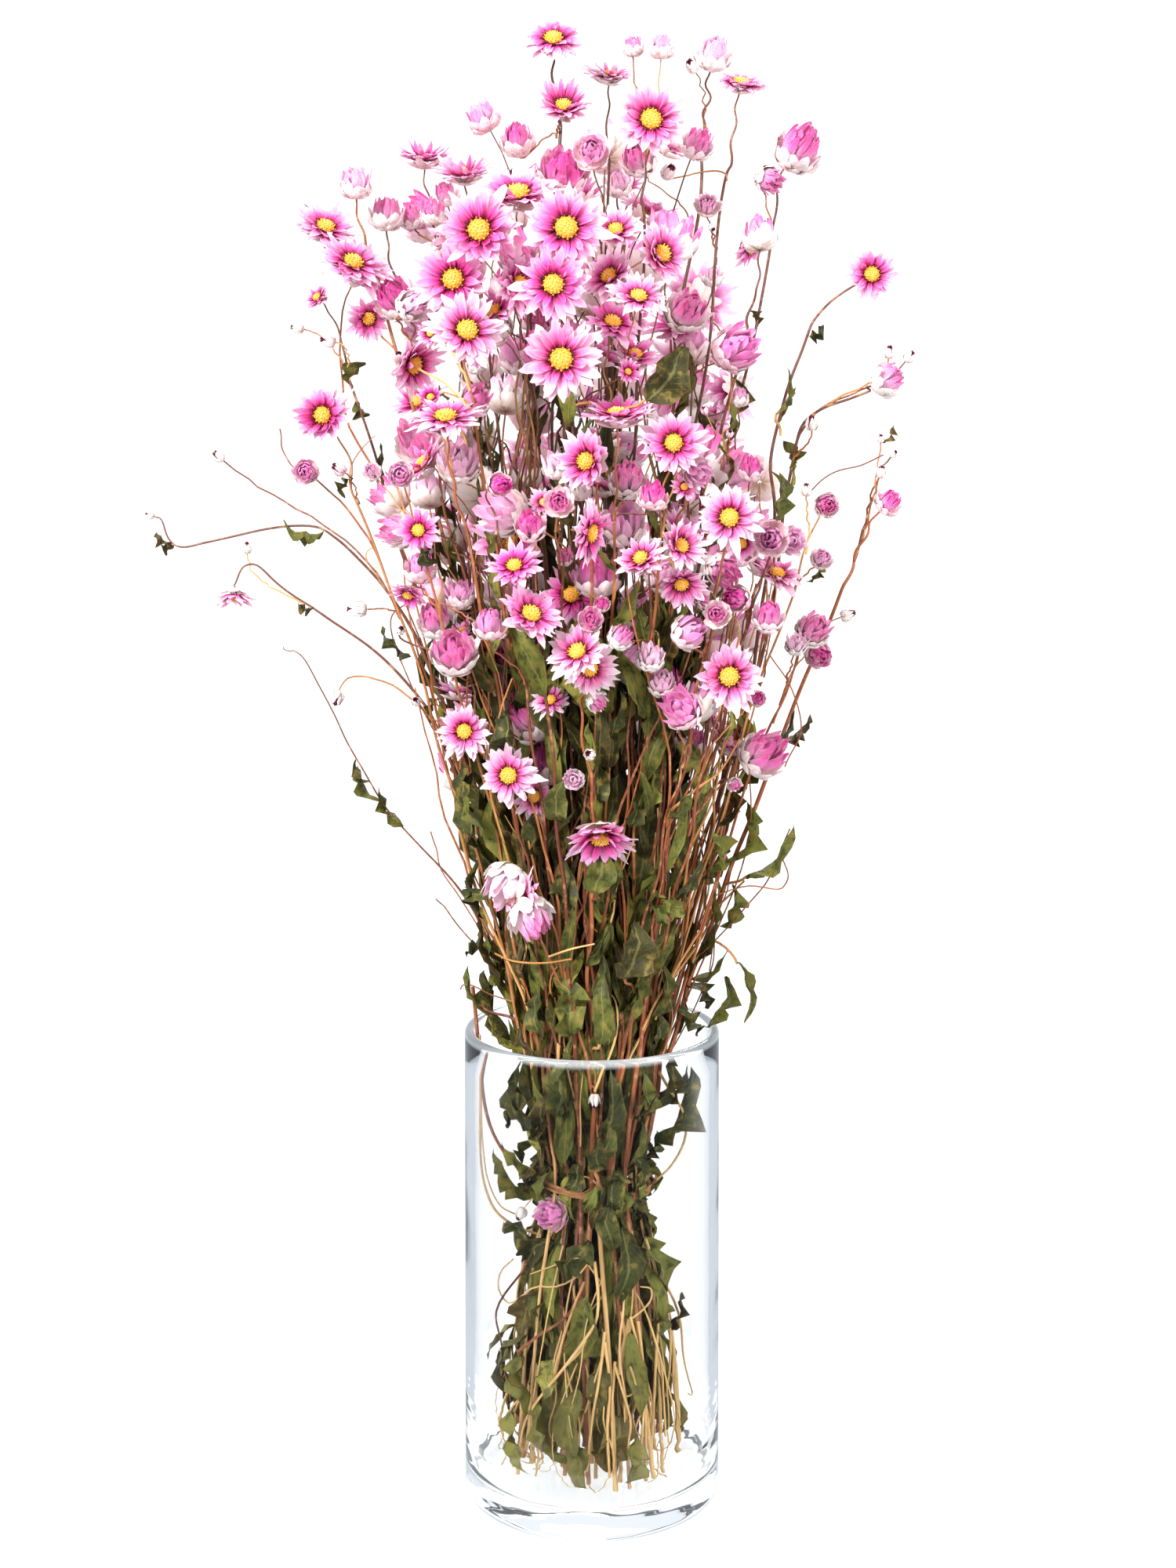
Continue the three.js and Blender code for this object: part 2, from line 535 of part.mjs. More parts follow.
// A half-open head: a cup of upright pointed bracts
function halfRings(head) {
  const count = bractsFor(HALF_BRACTS, head.radius)
  const belly = ring(head, count, head.across, head.deep, HALF.belly)
  const rim = ring(head, 2 * count, head.across, head.deep, HALF.notch, HALF.tip)
  return [belly, rim, onAxis(head, HALF.well * head.deep)]
}

// A bud: a pointed egg
function budRings(head) {
  return [ring(head, BUD_SIDES, head.across, head.deep, [1, BUD_BELLY]), onAxis(head, head.deep)]
}

// A leaf at the end of a stem
function tipLeafRings(head) {
  return [ring(head, 4, 1, 1, [head.across, 0], [LEAF_THICKNESS, 0]), onAxis(head, head.deep)]
}

const HEAD_RINGS = { o: openRings, h: halfRings, b: budRings, l: tipLeafRings }

// A stalk and its head in one surface
function stalkWithHead(points, thick, thin, head) {
  const rings = stalkRings(points, thick, thin, head.axis)
  return closedSurface(rings.concat(HEAD_RINGS[head.kind](head)))
}

// A leaf: a folded, arched blade from its foot to its tip, its edges raised above the midrib
function leafSolid({ root, foot, tip, width, form }) {
  const way = tip.clone().sub(foot).normalize()
  const out = vec(foot.x, foot.y, 0).normalize()
  const side = way.clone().cross(out).normalize()
  const face = side.clone().cross(way)
  const length = foot.distanceTo(tip)
  const sections = form.map(([t, halfShare, foldShare]) => {
    const middle = foot.clone().lerp(tip, t).addScaledVector(face, LEAF_ARCH * length * t * (1 - t) * 4)
    const half = width * halfShare
    const fold = width * foldShare
    return [
      middle.clone().addScaledVector(side, half).addScaledVector(face, fold),
      middle.clone().addScaledVector(face, LEAF_THICKNESS / 2),
      middle.clone().addScaledVector(side, -half).addScaledVector(face, fold),
      middle.clone().addScaledVector(face, -LEAF_THICKNESS / 2 - half * LEAF_KEEL),
    ]
  })
  return closedSurface([[root], ...sections, [tip]])
}

// Where everything stands: the heads are pushed apart, given stems, and pushed clear of the stems
const heads = STEMS.flatMap((row, stem) => row.map((reading, k) => makeHead(stem, reading, k === 0, false)))
BACK_ROWS.forEach((row, k) => {
  STEMS[row].forEach((reading, i) => heads.push(makeHead(STEMS.length + k, reading, i === 0, true)))
})
spreadHeads(heads, [], SPREAD_STEPS)
const stems = Array.from({ length: STEM_COUNT }, (_, stem) => heads.filter((head) => head.stem === stem))
const slots = assignSlots(stems)
const stemCurves = () => stems.map((own, stem) => stemCurve(stem, slots[stem], own[0]))
spreadHeads(heads, stemCurves(), CLEAR_STEPS)
const curves = stemCurves()
const lines = curves.map((curve) => STEM_STEPS.map((k) => curve[k]))

// The point of a stem's curve at a height
function pointAtHeight(curve, z) {
  let k = 1
  while (k < curve.length - 1 && curve[k].z < z) k++
  const t = (z - curve[k - 1].z) / (curve[k].z - curve[k - 1].z)
  return curve[k - 1].clone().lerp(curve[k], Math.min(1, Math.max(0, t)))
}

// A leaf stands clear of every head, and inside the vase it stays within the glass
function leafIsClear(stem, root, tip, width) {
  return LEAF_SPOTS.every((t) => {
    const spot = root.clone().lerp(tip, t)
    const room = VASE_RADIUS - VASE_WALL - width * LEAF_WALL_SHARE
    if (spot.z < VASE_HEIGHT + LEAF_RIM_GAP && Math.hypot(spot.x, spot.y) > room) return false
    if (spot.z < VASE_FLOOR + LEAF_FLOOR_GAP) return false
    const offHeads = heads.every((head) => {
      const way = spot.clone().sub(head.at)
      const distance = way.length()
      return distance > reachOf(head, way.divideScalar(distance)) + LEAF_CLEAR
    })
    const gap = width * LEAF_STEM_SHARE + LEAF_STEM_GAP
    return offHeads && curves.every((curve, index) => {
      if (index === stem) return true
      return curve.every((point, k) => k === 0 || nearestOn(curve[k - 1], point, spot).distanceTo(spot) > gap)
    })
  })
}

function smallLeaves() {
  const leaves = []
  stems.forEach((_, stem) => {
    const slot = slots[stem]
    for (const height of LEAF_HEIGHTS) {
      const [a, b, c, d, e, f] = [draw(), draw(), draw(), draw(), draw(), draw()]
      if (Math.hypot(...slot) < LEAF_SLOT || a > LEAF_KEPT) continue
      const top = lines[stem][LEAF_TOP_POINT].z - LEAF_TOP_GAP
      const root = pointAtHeight(lines[stem], Math.min(height + b * LEAF_HEIGHT_DRAW, top))
      const turn = Math.atan2(root.y, root.x) + (c - 0.5) * LEAF_TURN_DRAW
      const lift = rad(mix(LEAF_LIFT[0], LEAF_LIFT[1], d)) * (height < SKIRT_HEIGHT && c > 0.5 ? -LEAF_DROOP : 1)
      const length = mix(LEAF_LENGTH[0], LEAF_LENGTH[1], e)
      const width = mix(LEAF_WIDTH[0], LEAF_WIDTH[1], f)
      const way = vec(Math.cos(turn) * Math.cos(lift), Math.sin(turn) * Math.cos(lift), Math.sin(lift))
      const tip = root.clone().addScaledVector(way, length)
      if (leafIsClear(stem, root, tip, width)) leaves.push({ stem, root, foot: root, tip, width, form: SMALL_LEAF })
    }
  })
  return leaves
}

function largeLeaves() {
  return LARGE_LEAVES.map(([x0, z0, x1, z1, width, share]) => {
    const y = depthAt((x0 + x1) / 2, (z0 + z1) / 2, share)
    const [footX, footZ] = unproject(x0, z0, y)
    const [tipX, tipZ] = unproject(x1, z1, y)
    const foot = vec(footX, y, footZ)
    const tip = vec(tipX, y, tipZ)
    let stem = 0
    let nearest = Infinity
    lines.forEach((line, index) => {
      if (line[LEAF_TOP_POINT].z < footZ) return
      const distance = pointAtHeight(line, footZ - LARGE_LEAF_BELOW).distanceTo(foot)
      if (distance < nearest) {
        nearest = distance
        stem = index
      }
    })
    const root = pointAtHeight(lines[stem], footZ + (tipZ > footZ ? -LARGE_LEAF_BELOW : LARGE_LEAF_ABOVE))
    return { stem, root, foot, tip, width, form: LARGE_LEAF }
  })
}

const leaves = smallLeaves().concat(largeLeaves())

// The point of a polyline nearest to a place
function nearestOnLine(line, place) {
  let nearest = line[0]
  for (let k = 1; k < line.length; k++) {
    const spot = nearestOn(line[k - 1], line[k], place)
    if (spot.distanceTo(place) < nearest.distanceTo(place)) nearest = spot
  }
  return nearest
}

function flowerSolid(stem, head) {
  const line = lines[stem]
  if (head.leading) return stalkWithHead(line, STEM_THICK, STEM_THIN, head)
  const stalk = stalkCurve(curves[stem], head)
  const short = stalk[0].distanceTo(head.at) < SHORT_STALK
  const points = (short ? SHORT_STEPS : STALK_STEPS).map((i) => stalk[i])
  points[0] = nearestOnLine(line, points[0])
  return stalkWithHead(points, STALK_THICK, STALK_THIN, head)
}

function stemSolid(stem) {
  let solid = flowerSolid(stem, stems[stem][0])
  for (const head of stems[stem].slice(1)) solid = solid.add(flowerSolid(stem, head))
  for (const leaf of leaves) {
    if (leaf.stem === stem) solid = solid.add(leafSolid(leaf))
  }
  return solid
}

// Stems whose solids run into each other are joined into one spray
function joinTouching(solids) {
  const boxes = solids.map((solid) => solid.boundingBox())
  const owner = solids.map((_, i) => i)
  const ownerOf = (i) => (owner[i] === i ? i : ownerOf(owner[i]))
  const apart = (a, b) => [0, 1, 2].some((k) => a.min[k] > b.max[k] || b.min[k] > a.max[k])
  for (let i = 0; i < solids.length; i++) {
    for (let j = i + 1; j < solids.length; j++) {
      if (apart(boxes[i], boxes[j])) continue
      if (solids[i].intersect(solids[j]).volume() > JOIN_VOLUME) owner[ownerOf(j)] = ownerOf(i)
    }
  }
  const sprays = new Map()
  solids.forEach((_, i) => {
    const key = ownerOf(i)
    sprays.set(key, [...(sprays.get(key) ?? []), i])
  })
  return [...sprays.values()]
}

// The largest body of a solid: scraps and sealed hollows are left out
function mainBody(solid) {
  const bodies = solid.decompose()
  return bodies.reduce((best, body) => (body.volume() > best.volume() ? body : best))
}

function toGeometry(solid) {
  const mesh = solid.getMesh()
  const geometry = new THREE.BufferGeometry()
  const places = []
  for (let i = 0; i < mesh.vertProperties.length; i += mesh.numProp) {
    places.push(mesh.vertProperties[i], mesh.vertProperties[i + 1], mesh.vertProperties[i + 2])
  }
  geometry.setAttribute('position', new THREE.Float32BufferAttribute(places, 3))
  geometry.setIndex([...mesh.triVerts])
  return geometry
}

// The vase: a straight glass cylinder with a thick floor, a rounded foot and a rounded rim
function vaseGeometry() {
  const outer = VASE_RADIUS
  const inner = VASE_RADIUS - VASE_WALL
  const profile = [
    [0, 0],
    [outer - VASE_CORNER, 0],
    [outer - VASE_CORNER * CORNER_CUT, VASE_CORNER * CORNER_CUT],
    [outer, VASE_CORNER],
    [outer, VASE_HEIGHT - VASE_WALL / 2],
    [outer - VASE_WALL / 2, VASE_HEIGHT],
    [inner, VASE_HEIGHT - VASE_WALL / 2],
    [inner, VASE_FLOOR + VASE_INNER_CORNER],
    [inner - VASE_INNER_CORNER, VASE_FLOOR],
    [0, VASE_FLOOR],
  ]
  const points = profile.map(([r, z]) => new THREE.Vector2(r, z))
  return new THREE.LatheGeometry(points, VASE_SIDES).rotateX(Math.PI / 2)
}

// The tie: a closed strand round the neck of the bunch, a little higher at one side
function tieGeometry() {
  const inner = NECK_RADIUS + STEM_THICK + TOUCH
  const section = [
    [inner, -TIE_WIDTH / 2],
    [inner + TIE_THICKNESS, 0],
    [inner, TIE_WIDTH / 2],
    [inner, -TIE_WIDTH / 2],
  ]
  const points = section.map(([r, z]) => new THREE.Vector2(r, z))
  const geometry = new THREE.LatheGeometry(points, TIE_SIDES).rotateX(Math.PI / 2)
  const place = geometry.attributes.position
  for (let i = 0; i < place.count; i++) {
    const slant = TIE_SLANT * (place.getX(i) / inner)
    place.setZ(i, place.getZ(i) + TIE_HEIGHT - slant)
  }
  return geometry
}

const glass = new THREE.MeshStandardMaterial({ color: 0xdfeaea, roughness: 0.05, metalness: 0 })
const raffia = new THREE.MeshStandardMaterial({ color: 0x9a6a44, roughness: 0.8, metalness: 0 })
const driedFlower = new THREE.MeshStandardMaterial({ color: 0xc07a86, roughness: 0.75, metalness: 0 })

const group = new THREE.Group()

function addNode(name, geometry, material) {
  const mesh = new THREE.Mesh(geometry, material)
  mesh.name = name
  group.add(mesh)
}

addNode('vase', vaseGeometry(), glass)
addNode('tie', tieGeometry(), raffia)

const solids = stems.map((_, stem) => stemSolid(stem))
for (const spray of joinTouching(solids)) {
  const numbers = spray.map((stem) => String(stem + 1).padStart(2, '0')).join('_')
  const name = spray.length === 1 ? 'flowering_stem_' : 'flowering_stems_'
  const solid = spray.slice(1).reduce((joined, stem) => joined.add(solids[stem]), solids[spray[0]])
  addNode(name + numbers, toGeometry(mainBody(solid)), driedFlower)
}

export default group
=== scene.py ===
# %% [markdown]
# # Dried rhodanthe in a clear glass vase
#
# Rhodanthe is a paper daisy. It is picked when its bracts are dry already, and some sixty thin stems are
# tied at the waist and stood in a straight glass cylinder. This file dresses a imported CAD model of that
# bunch: the solids say where each stem, head and leaf is, and the cells below give them stems of the right
# thinness, papery petals, grainy yellow discs, crumpled leaves and real glass.
#
# Blender works in metres, +Z up, with the front of the bunch towards -Y. The tables and all the arrays are
# in millimetres, because that is how the bunch was measured.

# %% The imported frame
import math
import re

import bpy
import numpy as np
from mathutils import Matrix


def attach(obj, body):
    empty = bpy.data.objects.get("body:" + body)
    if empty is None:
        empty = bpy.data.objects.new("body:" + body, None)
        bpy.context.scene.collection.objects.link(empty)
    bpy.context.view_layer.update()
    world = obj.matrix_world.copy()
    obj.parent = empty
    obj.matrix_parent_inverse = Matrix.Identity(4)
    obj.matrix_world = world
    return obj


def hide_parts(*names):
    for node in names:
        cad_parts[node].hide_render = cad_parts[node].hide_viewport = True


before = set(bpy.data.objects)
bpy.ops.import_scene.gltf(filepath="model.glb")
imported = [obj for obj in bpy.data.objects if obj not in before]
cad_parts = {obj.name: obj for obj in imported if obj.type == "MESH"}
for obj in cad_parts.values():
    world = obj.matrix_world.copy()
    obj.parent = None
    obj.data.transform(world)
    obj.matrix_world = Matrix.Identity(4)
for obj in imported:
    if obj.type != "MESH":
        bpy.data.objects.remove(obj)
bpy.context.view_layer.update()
MM = 0.001

# %% [markdown]
# ## Camera
#
# The photograph was taken with a level camera: the vase's sides stay upright, its rim shows as a thin
# ellipse below the eye and its foot as a rounder one. The ratio of those two ellipses gives the height of
# the eye. A level camera that still sees the table is made with a lens shift, not by tilting it. Here it
# tilts by less than two degrees as well, too little to see, so that the shift stays small in other views.

# %% Camera
EYE_DISTANCE, EYE_HEIGHT = 900.0, 428.0
CAMERA_TILT = 1.78


def placed(name, data):
    """A new object that holds data, linked into the scene."""
    made = bpy.data.objects.new(name, data)
    bpy.context.scene.collection.objects.link(made)
    return made


camera_data = bpy.data.cameras.new("camera")
camera_data.sensor_width, camera_data.lens = 36.0, 52.85
camera_data.shift_x, camera_data.shift_y = -0.0025, -0.196
camera = placed("camera", camera_data)
camera.location = (0.0, -EYE_DISTANCE * MM, EYE_HEIGHT * MM)
camera.rotation_euler = (math.radians(90.0 - CAMERA_TILT), 0.0, 0.0)
bpy.context.scene.camera = camera
print("camera at", tuple(camera.location))

# %% [markdown]
# ## Shapes as arrays
#
# A stem, a petal and a leaf are the same thing to numpy: a row of rings, closed at both ends. So one
# function closes them all, and hundreds of petals are worked out in one go as an array with the axes shape,
# ring, point of the ring, coordinate. Each shape remembers whose it is, so that it can be cut into pieces by
# stem later.

# %% Small helpers for arrays of points
def unit(v):
    """v divided by its length, along the last axis."""
    return v / np.linalg.norm(v, axis=-1, keepdims=True)


def dot(a, b):
    """The sum of products along the last axis, kept as an axis of one."""
    return (a * b).sum(axis=-1, keepdims=True)


def xyz(*coordinates):
    """Points from their coordinates, each an array or one number for all."""
    return np.stack(np.broadcast_arrays(*coordinates), axis=-1)


def circle(u, v, count):
    """Points u cos a + v sin a at count angles a, on a new axis before the last."""
    angle = (2 * np.pi * np.arange(count) / count)[:, None]
    return u[..., None, :] * np.cos(angle) + v[..., None, :] * np.sin(angle)


def on_rings(values, around):
    """A mark for each vertex of a shape from values for its start, each ring and its end."""
    inner = np.repeat(values[..., 1:-1], around, axis=-1)
    return np.concatenate([values[..., :1], inner, values[..., -1:]], axis=-1)


def round_rings(values, rings):
    """A mark for each vertex of a shape from values round a ring, the same for all rings, 0 at the ends."""
    return np.concatenate([[0], np.tile(values, rings), [0]])[None]


# %% Closing rows of rings
def sealed(rings, start, end, owner, slot, **marks):
    """Shapes made of rings that are closed in a fan at either end.

    rings holds P shapes of R rings of K points, and start and end hold P points. Vertices run start, ring
    by ring, end. Faces between rings are quads, and the fans are triangles. Every mark is a value a vertex.
    """
    shapes, count, around = rings.shape[:3]
    points = np.concatenate([start[:, None], rings.reshape(shapes, -1, 3), end[:, None]], axis=1)
    k = np.arange(around)
    after = (k + 1) % around
    rows = 1 + around * np.arange(count - 1)[:, None]
    low, high = rows + k, rows + after
    top = 1 + around * (count - 1)
    return {
        "points": points, "owner": owner, "slot": slot,
        "quads": xyz(low, high, high + around, low + around).reshape(-1, 4),
        "fans": np.concatenate([xyz(0, 1 + after, 1 + k), xyz(top + k, top + after, points.shape[1] - 1)]),
        "marks": {name: np.broadcast_to(value, points.shape[:2]) for name, value in marks.items()},
    }


# %% Putting shapes into one mesh
MARKS = ("along", "across", "tint", "shade")


def mesh_piece(name, lots, keep, materials, sharp=60.0):
    """One object from the shapes in lots whose owner is in keep. Face corners are written as flat arrays."""
    points, corners, sizes, slots = [], [], [], []
    marks = {mark: [] for mark in MARKS}
    total = 0
    for lot in lots:
        chosen = np.isin(lot["owner"], keep)
        own = lot["points"][chosen]
        shapes, per = own.shape[:2]
        first = total + per * np.arange(shapes)[:, None, None]
        for faces in (lot["quads"], lot["fans"]):
            corners.append((faces + first).reshape(-1))
            sizes.append(np.full(shapes * len(faces), faces.shape[1]))
            slots.append(np.full(shapes * len(faces), lot["slot"]))
        points.append(own.reshape(-1, 3))
        for mark in MARKS:
            value = lot["marks"].get(mark)
            marks[mark].append(np.zeros(shapes * per) if value is None else value[chosen].reshape(-1))
        total += shapes * per
    if total == 0:
        return None
    corners, sizes = np.concatenate(corners), np.concatenate(sizes)
    mesh = bpy.data.meshes.new(name)
    mesh.vertices.add(total)
    mesh.vertices.foreach_set("co", (np.concatenate(points) * MM).astype(np.float32).reshape(-1))
    mesh.loops.add(len(corners))
    mesh.loops.foreach_set("vertex_index", corners.astype(np.int32))
    mesh.polygons.add(len(sizes))
    mesh.polygons.foreach_set("loop_start", (np.cumsum(sizes) - sizes).astype(np.int32))
    mesh.polygons.foreach_set("material_index", np.concatenate(slots).astype(np.int32))
    return finished_piece(mesh, marks, materials, sharp)


def finished_piece(mesh, marks, materials, sharp=None):
    """The object of a mesh, smooth but for edges sharper than an angle, with its marks and materials."""
    mesh.polygons.foreach_set("use_smooth", np.ones(len(mesh.polygons), bool))
    for mark, values in marks.items():
        layer = mesh.attributes.new(mark, "FLOAT", "POINT")
        layer.data.foreach_set("value", np.concatenate(values).astype(np.float32))
    mesh.update(calc_edges=True)
    if sharp:
        mesh.set_sharp_from_angle(angle=math.radians(sharp))
    for material in materials:
        mesh.materials.append(material)
    piece = placed(mesh.name, mesh)
    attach(piece, "root")
    return piece


# %% [markdown]
# ## Where the flower heads are
#
# Each row is one stem of the bunch and lists its heads, the leading one first: x and z as seen from the
# camera, radius, kind (o open, h half open, b bud, l a leafy tip), how far it faces to the right and up in
# degrees, its depth in the bunch from -1 in front to 1 behind, and how strong its pink is.
# It is the same table that the solids were made from, with the colour added.

